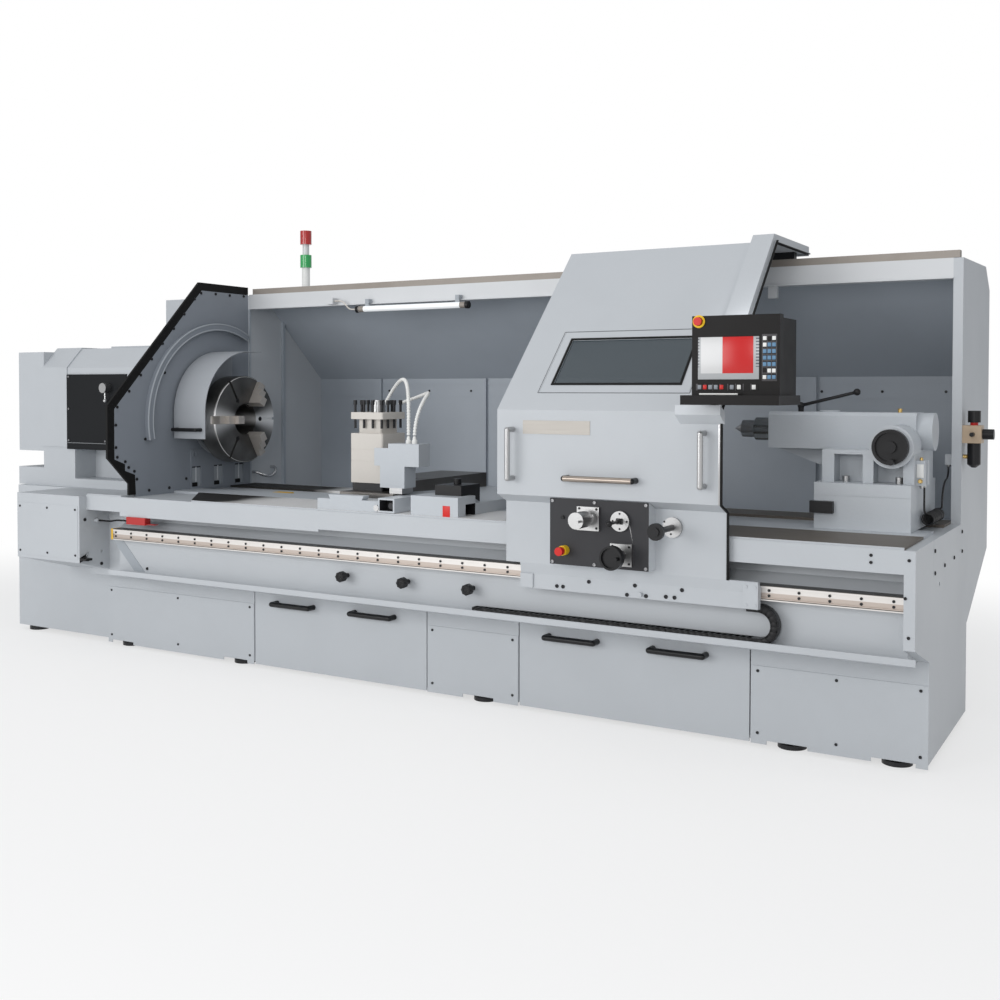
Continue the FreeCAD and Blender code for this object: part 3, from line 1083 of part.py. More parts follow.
def coolant_hoses():
    top = size("manifold_top")
    left = size("manifold_left")
    front = size("(manifold_front + manifold_back) / 2")
    routes = (
        (size("hose_foot"), FreeCAD.Vector(left - size("crown_back"), front + size("crown_reach"),
                                           top + size("crown_height")),
         FreeCAD.Vector(left - size("tip_far"), front + size("tip_reach"), top + size("tip_height"))),
        (size("hose_foot_two"), FreeCAD.Vector(left + size("crown_back"),
                                               front + size("crown_reach_two"),
                                               top + size("crown_height_two")),
         FreeCAD.Vector(left - size("tip_near"), front + size("tip_reach"), top + size("tip_height"))))
    hoses = []
    for number, (offset, crown, end) in enumerate(routes):
        foot = FreeCAD.Vector(left + offset, front, top)
        points = [foot, *arch(foot + Z_AXIS * 24, size("hose_rise"), crown, end, 6)]
        hose = tube("hose_%d" % number, points, size("hose_radius"), largest_bends(points))
        heading = (points[-1] - points[-2]).normalize()
        tip = doc.addObject("Part::Feature", "nozzle_%d" % number)
        tip.Shape = Part.makeCone(size("hose_radius") + 2, 4, 30, points[-1], heading)
        collar = doc.addObject("Part::Feature", "hose_collar_%d" % number)
        collar.Shape = Part.makeCylinder(size("hose_radius") + 4, 16, points[0], Z_AXIS)
        hoses.append(join("hose_set_%d" % number, hose, tip, collar))
    return group("coolant_hoses", *hoses)


def tool_post():
    spot = ("turret_across", "turret_back")
    low = "slide_top + running_gap"
    neck = "turret_shoulder + turret_neck_rise"
    core = octagon("post_core", *spot, "(turret_side - 3)", "turret_chamfer", low, "turret_shoulder")
    levels = ((low, "turret_bottom", "(turret_base_side)"),
              ("turret_bottom", "turret_bottom + 104", "(turret_side)"),
              ("turret_bottom + 106", "turret_bottom + 159", "(turret_side)"),
              ("turret_bottom + 161", "turret_shoulder", "(turret_side)"),
              ("turret_shoulder - 1", neck + " + 1", "(turret_neck_side)"),
              (neck, neck + " + turret_plate", "(turret_side)"))
    slabs = [octagon("post_slab_%d" % number, *spot, side, "turret_chamfer", base, top)
             for number, (base, top, side) in enumerate(levels)]
    pivot = rod("pivot", "z", "pivot_radius", "pivot_height + 1", *spot, "slide_top - pivot_height + 0.7")
    cap = rod("post_cap", "z", "cap_radius", "cap_height", *spot, neck + " + turret_plate")
    crown = rod("post_crown", "z", "cap_radius - 14", 8, *spot,
                neck + " + turret_plate + cap_height")
    core_cut = block("core_trim", ("turret_across - turret_side", "turret_across + turret_side"),
                     ("turret_back - turret_side", "turret_back + turret_side"),
                     (low + " - 1", "turret_bottom"))
    return join("tool_post", cut("post_trimmed", core, core_cut), *slabs, pivot, cap, crown)


def clamp_bolts():
    reach = "(turret_side / 2 - clamp_inset) / 3"
    places = [(a, b) for a in (-3, -1, 1, 3) for b in (-3, -1, 1, 3) if 3 in (abs(a), abs(b))]
    neck = "turret_shoulder + turret_neck_rise"
    top = neck + " + turret_plate"
    bolts = []
    for number, (a, b) in enumerate(places):
        x = "turret_across + %d * %s" % (a, reach)
        y = "turret_back + %d * %s" % (b, reach)
        shank = rod("clamp_shank_%d" % number, "z", "clamp_radius", "clamp_above - 2", x, y, top)
        head = rod("clamp_head_%d" % number, "z", "clamp_head", "clamp_head_height", x, y,
                   top + " + clamp_above - clamp_head_height")
        bolts.append(join("clamp_top_%d" % number, shank, head))
        bolts.append(rod("clamp_foot_%d" % number, "z", "clamp_radius", "clamp_below", x, y,
                         neck + " - clamp_below"))
    return group("clamp_bolts", *bolts)


def tailstock():
    base = block("tail_base", ("tail_left", "tail_right"), ("tail_front", "tail_back"),
                 ("way_top + running_gap", "tail_base_top"))
    seam_level = "tail_base_top - 52"
    seams = [block("tail_seam_%d" % number, ("tail_left - 1", "tail_right + 1"), span,
                   (seam_level, seam_level + " + 3"))
             for number, span in enumerate((("tail_front - 1", "tail_front + 2"),
                                            ("tail_back - 2", "tail_back + 1")))]
    column = block("column", ("column_left", "tail_right"), ("column_front", "column_back"),
                   ("tail_base_top - 1", SPINDLE_Z + " - barrel_half + 4"))
    pockets = [block("pocket_%d" % number, ends, ("column_front - 1", "column_front + pocket_depth"),
                     ("tail_base_top", "pocket_top"))
               for number, ends in enumerate((("pocket_left", "pocket_right"),
                                              ("pocket_two_left", "pocket_two_right")))]
    near = "spindle_back - barrel_width / 2"
    far = "spindle_back + barrel_width / 2"
    low = SPINDLE_Z + " - barrel_half"
    high = SPINDLE_Z + " + barrel_half"
    barrel = profile("barrel", "YZ", [
        (near, low), (near, high + " - barrel_chamfer"), (near + " + barrel_chamfer", high),
        (far + " - barrel_chamfer", high), (far, high + " - barrel_chamfer"), (far, low)],
        "barrel_left", "barrel_right")
    end = rod("barrel_cap", "x", "barrel_half", "barrel_end - barrel_right", "barrel_right",
              "spindle_back", SPINDLE_Z)
    gusset = profile("gusset", "XZ", [
        ("gusset_left", low + " + 2"), ("column_left + 2", low + " + 2"),
        ("column_left + 2", "gusset_foot"), ("column_left - 60", "gusset_foot")],
        "spindle_back - gusset_sheet / 2", "spindle_back + gusset_sheet / 2")
    boss = rod("boss", "y", "boss_radius", near + " - column_front + boss_reach + 5", "wheel_across",
               "column_front - boss_reach", "wheel_height")
    front_wiper = block("front_wiper", ("wiper_left", "wiper_right"),
                        ("tail_front - wiper_reach", "tail_front"), ("wiper_bottom", "wiper_top"))
    discs = rod("cap_plate", "z", "cap_disc", "cap_disc_height", "cap_across", "spindle_back", high)
    oiler = rod("oiler", "z", 9, 16, "wheel_across - 15", "spindle_back", high)
    studs = [rod("pocket_nut_%d" % number, "z", "nut_radius", "nut_height", across, "nut_front + 8",
                 "tail_base_top")
             for number, across in enumerate(("pocket_left + 39", "pocket_two_left + 93"))]
    valves = [block("valve_%d" % number, ("tail_right", "tail_right + valve_width"),
                    (front, front + " + valve_width + 6"), ("valve_bottom", "valve_top"))
              for number, front in enumerate(("valve_front", "valve_back - valve_width - 6"))]
    quill_bore = rod("quill_bore", "x", "quill_radius + fit_gap", "quill_inside + 30",
                     "barrel_left - 1", "spindle_back", SPINDLE_Z)
    wheel_bore = rod("wheel_bore", "y", "wheel_shaft + fit_gap", "boss_reach + 10", "wheel_across",
                     "column_front - boss_reach - 1", "wheel_height")
    post_bore = rod("post_bore", "z", "clamp_post_radius + fit_gap", 20, "clamp_post_across",
                    "spindle_back", high + " - 16")
    whole = join("tail_pieces", base, cut("column_cut", column, *pockets), barrel, end, gusset, boss,
                 front_wiper, discs, oiler, *studs, *valves)
    return cut("tailstock", whole, quill_bore, wheel_bore, post_bore, *seams)


def quill():
    start = "barrel_left - quill_nose"
    bar = rod("quill_bar", "x", "quill_radius", "quill_nose + quill_inside", start, "spindle_back",
              SPINDLE_Z)
    bore = rod("centre_bore", "x", "centre_shank + fit_gap", "centre_shank_length + 4",
               start + " - 1", "spindle_back", SPINDLE_Z)
    return cut("quill", bar, bore)


def live_centre():
    start = "barrel_left - quill_nose - running_gap"
    head = rod("centre_head", "x", "centre_radius", "centre_length", start + " - centre_length",
               "spindle_back", SPINDLE_Z)
    tip = cone("centre_tip", "x", 0.5, "centre_radius - 12", "centre_cone",
               start + " - centre_length - centre_cone", "spindle_back", SPINDLE_Z)
    shank = rod("shank", "x", "centre_shank", "centre_shank_length + 1", start + " - 1",
                "spindle_back", SPINDLE_Z)
    return join("live_centre", head, tip, shank)


def tailstock_wheel():
    face = "column_front - boss_reach - running_gap"
    front = face + " - wheel_width"
    disc = rod("wheel_disc", "y", "wheel_radius", "wheel_width", "wheel_across", front, "wheel_height")
    dish = rod("wheel_dish", "y", "wheel_radius - wheel_rim", "wheel_width / 2 + 1", "wheel_across",
               front + " - 1", "wheel_height")
    hub = rod("wheel_hub", "y", "wheel_radius / 3", "wheel_width", "wheel_across", front,
              "wheel_height")
    shaft = rod("wheel_axle", "y", "wheel_shaft", "boss_reach + 3", "wheel_across", face + " - 3",
                "wheel_height")
    knob = rod("crank", "y", "crank_radius", "crank_reach + 2", "wheel_across + 10",
               front + " - crank_reach", "wheel_height - wheel_radius + crank_radius")
    return join("tailstock_wheel", cut("dished", disc, dish), hub, shaft, knob)


def quill_lever():
    top = SPINDLE_Z + " + barrel_half"
    post = rod("clamp_post", "z", "clamp_post_radius", "clamp_post_height + 14", "clamp_post_across",
               "spindle_back", top + " - 14")
    head = "%s + clamp_post_height + 4" % top
    crown = ball("clamp_crown", "clamp_post_radius + 3", "clamp_post_across", "spindle_back", head)
    tip = ("clamp_post_across + clamp_lever", "spindle_back", head + " + clamp_lever_rise - 4")
    arm = strut("clamp_arm", "clamp_rod", ("clamp_post_across", "spindle_back", head), tip)
    knob = ball("clamp_knob", "clamp_grip + 4", *tip)
    return join("quill_lever", post, crown, arm, knob)


def air_hose():
    radius = size("coil_radius")
    thread = size("coil_tube")
    turns = int(size("coil_turns"))
    pitch = 3 * thread
    valve_y = size("valve_back") - 19
    start = FreeCAD.Vector(size("tail_right") + 31, valve_y, size("way_top + coil_height") + radius)
    half_chord = math.hypot(radius, pitch / 4)
    points = [start + FreeCAD.Vector(0, pitch * turn / 2, -2 * radius if turn % 2 else 0)
              for turn in range(2 * turns + 1)]
    edges = [Part.LineSegment(start - X_AXIS * 2 * thread, start).toShape()]
    for turn, (a, b) in enumerate(zip(points, points[1:])):
        side = -1 if turn % 2 else 1
        middle = (a + b) / 2 + X_AXIS * (side * half_chord)
        edges.append(Part.Arc(a, middle, b).toShape())
    last = points[-1] + X_AXIS * 2 * thread
    edges.append(Part.LineSegment(points[-1], last).toShape())
    path = Part.Wire(edges)
    ring = Part.Wire([Part.Circle(start - X_AXIS * 2 * thread, X_AXIS, thread).toShape()])
    coil = doc.addObject("Part::Feature", "coil")
    coil.Shape = path.makePipeShell([ring], True, False)
    print("air_hose: %d curls, volume %.0f, section times length %.0f, gap between curls %.1f" % (
        turns, coil.Shape.Volume, math.pi * thread * thread * path.Length, pitch - 2 * thread))
    cuff = 12
    joints = []
    for number, corner in enumerate((start - X_AXIS * (2 * thread + cuff), last)):
        joint = doc.addObject("Part::Feature", "hose_joint_%d" % number)
        joint.Shape = Part.makeBox(cuff, cuff, cuff + 4, corner - FreeCAD.Vector(0, cuff / 2, cuff / 2))
        joints.append(joint)
    rise = start + FreeCAD.Vector(-2 * thread - cuff / 2, 0, cuff / 2 + 4)
    lead = rod("hose_lead", "z", thread, "valve_bottom - %r" % rise.z, rise.x, rise.y, rise.z)
    foot = last + FreeCAD.Vector(cuff / 2, 0, cuff / 2 + 4)
    plug = FreeCAD.Vector(foot.x, size("plug_back"), size("plug_height"))
    gap = plug - foot
    shares = ((0, 0), (0, 0.22), (0.16, 0.46), (0.46, 0.62), (0.82, 0.66), (1, 0.82), (1, 1))
    route = [FreeCAD.Vector(foot.x, foot.y + gap.y * y, foot.z + gap.z * z) for y, z in shares]
    return group("air_hose", lead, coil, *joints,
                 tube("wall_lead", route, thread, largest_bends(route)))


def guard_outline():
    """The guard's outer line in Y and Z, and the same line one sheet further in."""
    outer = [("guard_skirt", "guard_foot"), ("guard_skirt", "skirt_top"),
             ("guard_front", "chest_bottom"), ("guard_front", "guard_knee"),
             ("guard_crest", "guard_roof"), ("guard_roof_back", "guard_roof")]
    return outer, inset_outline("guard_sheet")


def inset_outline(depth):
    back = "guard_front + (%s)" % depth
    skirt = "guard_skirt + (%s)" % depth
    roof = "guard_roof - (%s)" % depth
    return [(skirt, "guard_foot"), (skirt, "skirt_top + 0.7 * (%s)" % depth),
            (back, "chest_bottom + 0.7 * (%s)" % depth), (back, rake_height(back, depth)),
            (rake_back(roof, depth), roof), ("guard_roof_back", roof)]


def guard_shell():
    outer, inner = guard_outline()
    skin = profile("skin", "YZ", outer + inner[::-1], "guard_left", "guard_right")
    shift = "(rib_start / %s)" % SLANT
    start = ("guard_front + " + shift, "guard_knee + %s * %s" % (shift, RAKE))
    lift = "(rib_rise / %s)" % SLANT
    end = "guard_roof_back + 8"
    crown = "guard_roof + rib_rise"
    rib = profile("rib", "YZ", [
        start, ("guard_crest", "guard_roof"), ("guard_roof_back", "guard_roof"), (end, "guard_roof"),
        (end, crown), (rake_back(crown, "(0 - rib_rise)"), crown),
        (start[0] + " - %s * %s" % (lift, RAKE), start[1] + " + " + lift)], "rib_left", "rib_right")
    tail = block("rib_tail", ("rib_left", "rib_right"), ("guard_roof_back", end),
                 ("guard_roof - 12", "guard_roof + 1"))
    opening = slope_block("opening", ("window_left", "window_right"), ("window_low", "window_high"),
                          ("0 - guard_sheet * 3", "guard_sheet * 3"))
    seams = []
    left, right = "window_left - 50", "window_right + 50"
    low, high = "window_low - 53", "window_high + 53"
    for number, (x, along) in enumerate((
            ((left, right), (low, low + " + 2")), ((left, right), (high, high + " + 2")),
            ((left, left + " + 2"), (low, high)), ((right, right + " + 2"), (low, high + " + 2")))):
        seams.append(slope_block("panel_seam_%d" % number, x, along, ("0 - guard_sheet / 2", 5)))
    shaft = rod("side_knob_bore", "y", "side_shaft + running_gap", 12, "side_knob_across",
                "guard_skirt - 2", "side_knob_height")
    return cut("guard_shell", join("skin_and_rib", skin, rib, tail), opening, shaft, *seams)


def guard_window():
    return slope_block("guard_window", ("window_left - gasket_width", "window_right + gasket_width"),
                       ("window_low - gasket_width", "window_high + gasket_width"),
                       ("0 - guard_sheet - glass_sheet", "0 - guard_sheet"))


def guard_seals():
    frame = slope_block("gasket_frame", ("window_left - gasket_width", "window_right + gasket_width"),
                        ("window_low - gasket_width", "window_high + gasket_width"),
                        (0, "gasket_sheet"))
    hole = slope_block("gasket_hole", ("window_left", "window_right"), ("window_low", "window_high"),
                       (-5, "gasket_sheet + 5"))
    strips = []
    inner = inset_outline("guard_sheet")[1:]
    deeper = inset_outline("guard_sheet + side_seal")[1:]
    for number, ends in enumerate((("guard_left", "guard_left + side_seal_width"),
                                   ("guard_right - side_seal_width", "guard_right"))):
        strips.append(profile("side_seal_%d" % number, "YZ", inner + deeper[::-1], *ends))
    return group("guard_seals", cut("gasket", frame, hole), *strips)


def guard_fittings():
    uprights = [handle("upright_%d" % number, "z", "handle_radius", "handle_reach", across,
                       "guard_front + 0.01", "handle_low", "handle_high - handle_low")
                for number, across in enumerate(("handle_left", "handle_right"))]
    pull = handle("pull", "x", "pull_radius", "pull_reach", "pull_left", "guard_front + 0.01",
                  "pull_height", "pull_right - pull_left")
    plate = block("name_plate", ("name_left", "name_right"), ("guard_front - name_sheet", "guard_front"),
                  ("name_bottom", "name_top"))
    shoes = []
    for number, left in enumerate(("guard_left + roof_shoe_inset - 20",
                                   "guard_right - roof_shoe_inset + 18 - roof_shoe_length")):
        shoes.append(block("shoe_%d" % number, (left, left + " + roof_shoe_length"),
                           ("roof_rail_front", "roof_rail_back"),
                           ("roof_edge + roof_rail_height + running_gap",
                            "guard_roof - guard_sheet")))
    bracket = profile("pendant_bracket", "YZ", [
        ("guard_front", "bracket_bottom"), ("bracket_front", "shelf_bottom - 40"),
        ("bracket_front", "shelf_bottom - 4"), ("guard_front", "shelf_bottom - 30")],
        "bracket_left", "bracket_right")
    trim = block("bracket_trim", ("guard_right", "bracket_right + 1"),
                 ("guard_front - 1", "guard_front + 30"), ("bracket_bottom - 1", "shelf_bottom"))
    pin = rod("swivel_pin", "z", "pin_radius", 46, "pivot_across", "pivot_back", "shelf_bottom - 20")
    flange = rod("side_flange", "y", "side_flange_radius", "side_flange_depth", "side_knob_across",
                 "guard_skirt - side_flange_depth", "side_knob_height")
    bore = rod("flange_bore", "y", "side_shaft + fit_gap", 20, "side_knob_across",
               "guard_skirt - side_flange_depth - 1", "side_knob_height")
    return group("guard_fittings", *uprights, pull, plate, *shoes,
                 cut("fitted_bracket", join("bracket_and_pin", bracket, pin), trim),
                 cut("bored_flange", flange, bore))


def slide_beam():
    beam = profile("beam_profile", "YZ", [
        ("carriage_front", "carriage_bottom"), ("carriage_front", "carriage_neck"),
        ("guard_skirt", "guard_foot"), ("carriage_lip_back", "guard_foot"),
        ("carriage_back", "carriage_neck"), ("carriage_back", "carriage_bottom")],
        "carriage_left", "carriage_right")
    pads = [block("pad_%d" % number, (left, left + " + pad_length"),
                  ("carriage_back - 1", "rail_face - running_gap"), ("rail_bottom + 3", "rail_top - 3"))
            for number, left in enumerate(("carriage_left", "carriage_right - pad_length"))]
    ends = [block("end_bracket_%d" % number, (left, left + " + pad_length + 1"),
                  ("carriage_front - bracket_plate", "carriage_front"),
                  ("end_bracket_bottom", top))
            for number, (left, top) in enumerate((("carriage_left", "carriage_neck - 1"),
                                                  ("carriage_right - pad_length - 1",
                                                   "end_bracket_top")))]
    level = "tray_floor + chain_height / 2 + 0.3 + 2 * chain_bend + chain_height / 2"
    anchor = block("chain_anchor_plate", ("chain_anchor - 45", "chain_anchor + 4"),
                   ("carriage_back - 1", "chain_front + chain_width - 8"),
                   (level, level + " + chain_plate"))
    pipe = rod("pipe_fitting", "y", 8, 16, "(carriage_left + carriage_right) / 2 + 34",
               "carriage_front - 16", "carriage_bottom + 17")
    heads = [rod("beam_screw_%d" % number, "y", "screw_radius", 3, across, face + " - 3", level_2)
             for number, (across, face, level_2) in enumerate(beam_screw_places())]
    return join("slide_beam", beam, *pads, *ends, anchor, pipe, *heads)


def cable_chain():
    low = "tray_floor + 0.3"
    centre = "(%s + chain_height / 2 + chain_bend)" % low
    run = block("chain_run", ("chain_left", "chain_anchor"),
                ("chain_front", "chain_front + chain_width"), (low, low + " + chain_height"))
    rings = []
    for tag, radius in (("outer", "chain_bend + chain_height / 2"),
                        ("inner", "chain_bend - chain_height / 2")):
        cylinder = doc.addObject("Part::Cylinder", "chain_" + tag)
        cylinder.setExpression("Radius", cells(radius))
        cylinder.setExpression("Height", cells("chain_width"))
        cylinder.Angle = 180
        rings.append(place(cylinder, "chain_anchor", "chain_front", centre, ALONG["y"]))
    upper = block("chain_upper", ("chain_anchor - 45", "chain_anchor"),
                  ("chain_front", "chain_front + chain_width"),
                  (centre + " + chain_bend - chain_height / 2",
                   centre + " + chain_bend + chain_height / 2"))
    joint_count = 28
    grooves = []
    for number in range(joint_count):
        across = "chain_left + chain_clamp + %r * (chain_anchor - chain_left - chain_clamp)" % (
            (number + 0.5) / joint_count)
        grooves.append(block("chain_groove_%d" % number, (across, across + " + 4"),
                             ("chain_front - 1", "chain_front + 3"),
                             (low + " + 3", low + " + chain_height - 3")))
    return cut("cable_chain", join("chain_pieces", run, cut("chain_loop", *rings), upper), *grooves)


def control_panel():
    box = profile("panel_box", "YZ", [
        ("panel_face", "panel_bottom"), ("panel_face", "panel_top"),
        ("guard_skirt", "skirt_top - panel_gap"), ("guard_skirt", "panel_bottom")],
        "panel_left", "panel_right")
    face = "panel_face - flange_sheet"
    feed = block("feed_plate", ("feed_across - 49", "feed_across + 48"), (face, "panel_face"),
                 ("feed_height - 49", "feed_height + feed_flange / 2"))
    fine = block("fine_plate", ("fine_across - 49", "fine_across + fine_flange / 2"),
                 (face, "panel_face"), ("fine_height - fine_flange / 2", "fine_height + fine_flange / 2"))
    disc = rod("stick_disc", "y", "stick_disc", "stick_disc_depth", "stick_across",
               "panel_face - stick_disc_depth", "stick_height")
    collar = rod("stop_collar", "y", "stop_collar", "stop_collar_depth", "stop_across",
                 "panel_face - stop_collar_depth", "stop_height")
    button = rod("button", "y", "button_radius", "button_depth", "button_across",
                 "panel_face - button_depth", "button_height")
    feed_bore = rod("feed_bore", "y", "feed_hub / 2 + fit_gap", 42, "feed_across", face + " - 1",
                    "feed_height")
    fine_bore = rod("fine_bore", "y", "feed_hub / 2 + fit_gap", 42, "fine_across", face + " - 1",
                    "fine_height")
    stop_bore = rod("stop_bore", "y", "stop_neck + fit_gap", "stop_collar_depth + 14", "stop_across",
                    "panel_face - stop_collar_depth - 1", "stop_height")
    socket = rod("stick_socket", "x", "stick_disc_depth - 2", 24.6, "stick_across - 12.3",
                 "panel_face - stick_disc_depth", "stick_height")
    return cut("control_panel", join("panel_pieces_all", box, feed, fine, disc, collar, button),
               feed_bore, fine_bore, stop_bore, socket)


def stop_button(name, across, face, level, radius, head, neck_radius, neck):
    """A mushroom push button whose head stands its travel and a little more off the face."""
    back = "%s - stop_travel - 1" % face
    cap = rod(name + "_cap", "y", radius, head, across, "%s - (%s)" % (back, head), level)
    stem = rod(name + "_stem", "y", neck_radius, neck, across, "%s - 1" % back, level)
    return join(name, cap, stem)


def panel_stop():
    return stop_button("panel_stop", "stop_across", "panel_face - stop_collar_depth", "stop_height",
                       "stop_radius", "stop_head", "stop_neck", "stop_neck_length")


def hand_wheel(name, across, level, pieces):
    face = "panel_face - flange_sheet"
    shaft = rod(name + "_axle", "y", "feed_hub / 2", 36, across, face + " - 2", level)
    return join(name, shaft, *pieces)


def feed_wheel_z():
    face = "panel_face - flange_sheet - running_gap"
    start = face + " - 109"
    neck = rod("feed_neck", "y", "feed_hub", 31, "feed_across", face + " - 31", "feed_height")
    drum = rod("feed_drum", "y", "feed_drum", "feed_drum_length + 1", "feed_across", start,
               "feed_height")
    pin = rod("feed_pin", "y", "crank_pin", "crank_pin_length + 1", "feed_across + crank_out", start
              + " - crank_pin_length", "feed_height")
    return hand_wheel("feed_wheel_z", "feed_across", "feed_height", [neck, drum, pin])


def feed_wheel_x():
    face = "panel_face - flange_sheet - running_gap"
    start = face + " - fine_neck_length - 54"
    neck = rod("fine_neck", "y", "fine_neck", "fine_neck_length + 26", "fine_across",
               face + " - fine_neck_length - 26", "fine_height")
    wheel = rod("fine_wheel", "y", "fine_wheel", "fine_wheel_depth", "fine_across", start,
                "fine_height")
    dish = rod("fine_dish", "y", "fine_wheel - 8", "fine_wheel_depth / 3 + 1", "fine_across",
               start + " - 1", "fine_height")
    pin = rod("fine_pin", "y", "crank_pin + 2", "crank_pin_length", "fine_across + crank_out + 6",
              start + " - crank_pin_length + 14", "fine_height")
    return hand_wheel("feed_wheel_x", "fine_across", "fine_height",
                      [neck, cut("fine_dished", wheel, dish), pin])


def joystick():
    face = "panel_face - stick_disc_depth"
    trunnion = rod("trunnion", "x", "stick_disc_depth - 2 - fit_gap", 24, "stick_across - 12", face,
                   "stick_height")
    stick = rod("stick", "y", "stick_radius", "stick_length", "stick_across",
                face + " - stick_length", "stick_height")
    boot = cone("stick_boot", "y", "stick_radius + 2", "stick_disc_depth - 3", 26, "stick_across",
                face + " - 26", "stick_height")
    knob = ball("stick_knob", "stick_ball", "stick_across", face + " - stick_length - 10",
                "stick_height")
    return join("joystick", trunnion, stick, boot, knob)


def guard_knob():
    face = "guard_skirt - side_flange_depth"
    shaft = rod("side_shaft", "y", "side_shaft", "side_shaft_length + 10", "side_knob_across",
                face + " - side_shaft_length", "side_knob_height")
    knob = rod("side_knob", "y", "side_knob_radius", "side_knob_depth", "side_knob_across",
               face + " - side_shaft_length - 4", "side_knob_height")
    cap = rod("side_knob_cap", "y", "side_knob_radius / 2", 8, "side_knob_across",
              face + " - side_shaft_length - 10", "side_knob_height")
    return join("guard_knob", shaft, knob, cap)


def pendant():
    shelf = block("shelf", ("shelf_left", "shelf_right"), ("shelf_front", "shelf_back"),
                  ("shelf_bottom", "shelf_bottom + shelf_height"))
    low = "shelf_bottom + shelf_height - 1"
    bezel = block("bezel", ("bezel_left", "bezel_right"), ("bezel_front", "bezel_front + bezel_depth"),
                  (low, "bezel_top"))
    body = block("pendant_body", ("bezel_left + pendant_margin", "bezel_right - pendant_margin"),
                 ("bezel_front + bezel_depth - 1", "pendant_back"), (low, "bezel_top - pendant_margin"))
    screen = block("screen", ("screen_left", "screen_right"),
                   ("bezel_front - 1", "bezel_front + screen_depth"), ("screen_bottom", "screen_top"))
    keys = []
    for column in range(3):
        for row in range(7):
            left = "keypad_left + %d * (keypad_right - keypad_left) / 3" % column
            base = "screen_bottom + %d * (screen_top - screen_bottom) / 7" % row
            keys.append(block("key_%d_%d" % (column, row),
                              (left + " + 1.5", left + " + (keypad_right - keypad_left) / 3 - 1.5"),
                              ("bezel_front - keypad_sheet", "bezel_front + 1"),
                              (base + " + 2", base + " + (screen_top - screen_bottom) / 7 - 2")))
    for column in range(8):
        left = "screen_left + %d * (screen_right - screen_left) / 8" % column
        keys.append(block("soft_key_%d" % column,
                          (left + " + 2", left + " + (screen_right - screen_left) / 8 - 2"),
                          ("bezel_front - keypad_sheet", "bezel_front + 1"),
                          ("keystrip_bottom", "keystrip_bottom + keystrip_height")))
    bore = rod("swivel_bore", "z", "pin_radius + fit_gap", 29, "pivot_across", "pivot_back",
               "shelf_bottom - 1")
    stop_bore = rod("pendant_stop_bore", "y", "stop_neck - 2 + fit_gap", 24, "pendant_stop_across",
                    "bezel_front - 1", "pendant_stop_height")
    return cut("pendant", join("pendant_pieces", shelf, bezel, body, *keys), screen, bore, stop_bore)


def pendant_stop():
    return stop_button("pendant_stop", "pendant_stop_across", "bezel_front", "pendant_stop_height",
                       "pendant_stop_radius", "stop_head / 2", "stop_neck - 2", 20)


def bed_knob(number):
    across = "knob_first + %d * knob_pitch" % number
    name = "bed_knob_%d" % (number + 1)
    stem = rod(name + "_stem", "y", "knob_stem", "knob_reach - 8", across,
               "apron_face - knob_reach + knob_length", "knob_height")
    head = rod(name + "_head", "y", "knob_radius", "knob_length", across, "apron_face - knob_reach",
               "knob_height")
    grip = block(name + "_grip", (across + " - 5", across + " + 5"),
                 ("apron_face - knob_reach - 6", "apron_face - knob_reach + 1"),
                 ("knob_height - knob_radius + 3", "knob_height + knob_radius - 3"))
    return join(name, stem, head, grip)


def bed_knob_1():
    return bed_knob(0)


def bed_knob_2():
    return bed_knob(1)


def bed_knob_3():
    return bed_knob(2)


def drawer(name, left):
    """A front panel, a floor and three walls that touch, with two handles on the panel."""
    low = "base_bottom + runner_height + running_gap"
    wide = (left + " + 6", left + " + drawer_width - 6")
    deep = ("base_front + drawer_front_sheet", "base_front + drawer_depth")
    rise = (low + " + drawer_wall", "drawer_top - 20")
    front = block(name + "_front", (left, left + " + drawer_width"),
                  ("base_front", "base_front + drawer_front_sheet"), ("drawer_low", "drawer_top"))
    floor = block(name + "_floor", wide, deep, (low, low + " + drawer_wall"))
    first = block(name + "_left_wall", (wide[0], wide[0] + " + drawer_wall"), deep, rise)
    second = block(name + "_right_wall", (wide[1] + " - drawer_wall", wide[1]), deep, rise)
    back = block(name + "_back_wall", (wide[0] + " + drawer_wall", wide[1] + " - drawer_wall"),
                 (deep[1] + " - drawer_wall", deep[1]), rise)
    grips = [handle("%s_grip_%d" % (name, number), "x", "grip_radius", "grip_reach",
                    "%s + %s" % (left, offset), "base_front", "grip_height", "grip_span")
             for number, offset in enumerate(("grip_first", "grip_second"))]
    return group(name, front, floor, first, second, back, *grips)


def drawer_1():
    return drawer("drawer_1", BAY_LEFTS[0])


def drawer_2():
    return drawer("drawer_2", BAY_LEFTS[1])


NODES = (
    base_cabinet, socket_screws, levelling_feet, left_cabinet, bed, bed_ways, bed_front_cover,
    guide_rail, fascia, right_housing, enclosure_walls, roof_beam, splash_plate, splash_seal,
    headstock, gear_panel, door_switch, lamp, signal_tower, air_unit, coolant_pipe, switch_cable,
    lamp_cable, air_knob, speed_lever, chuck, jaw_1, jaw_2, jaw_3, chuck_guard, saddle, cross_slide,
    coolant_hoses, tool_post, clamp_bolts, tailstock, quill, live_centre, tailstock_wheel,
    quill_lever, air_hose, guard_shell, guard_window, guard_seals, guard_fittings, slide_beam,
    control_panel, panel_stop, feed_wheel_z, feed_wheel_x, joystick, guard_knob, pendant,
    pendant_stop, cable_chain, bed_knob_1, bed_knob_2, bed_knob_3, drawer_1, drawer_2)

made = {}
for make in NODES:
    made[make.__name__] = make()
doc.recompute()

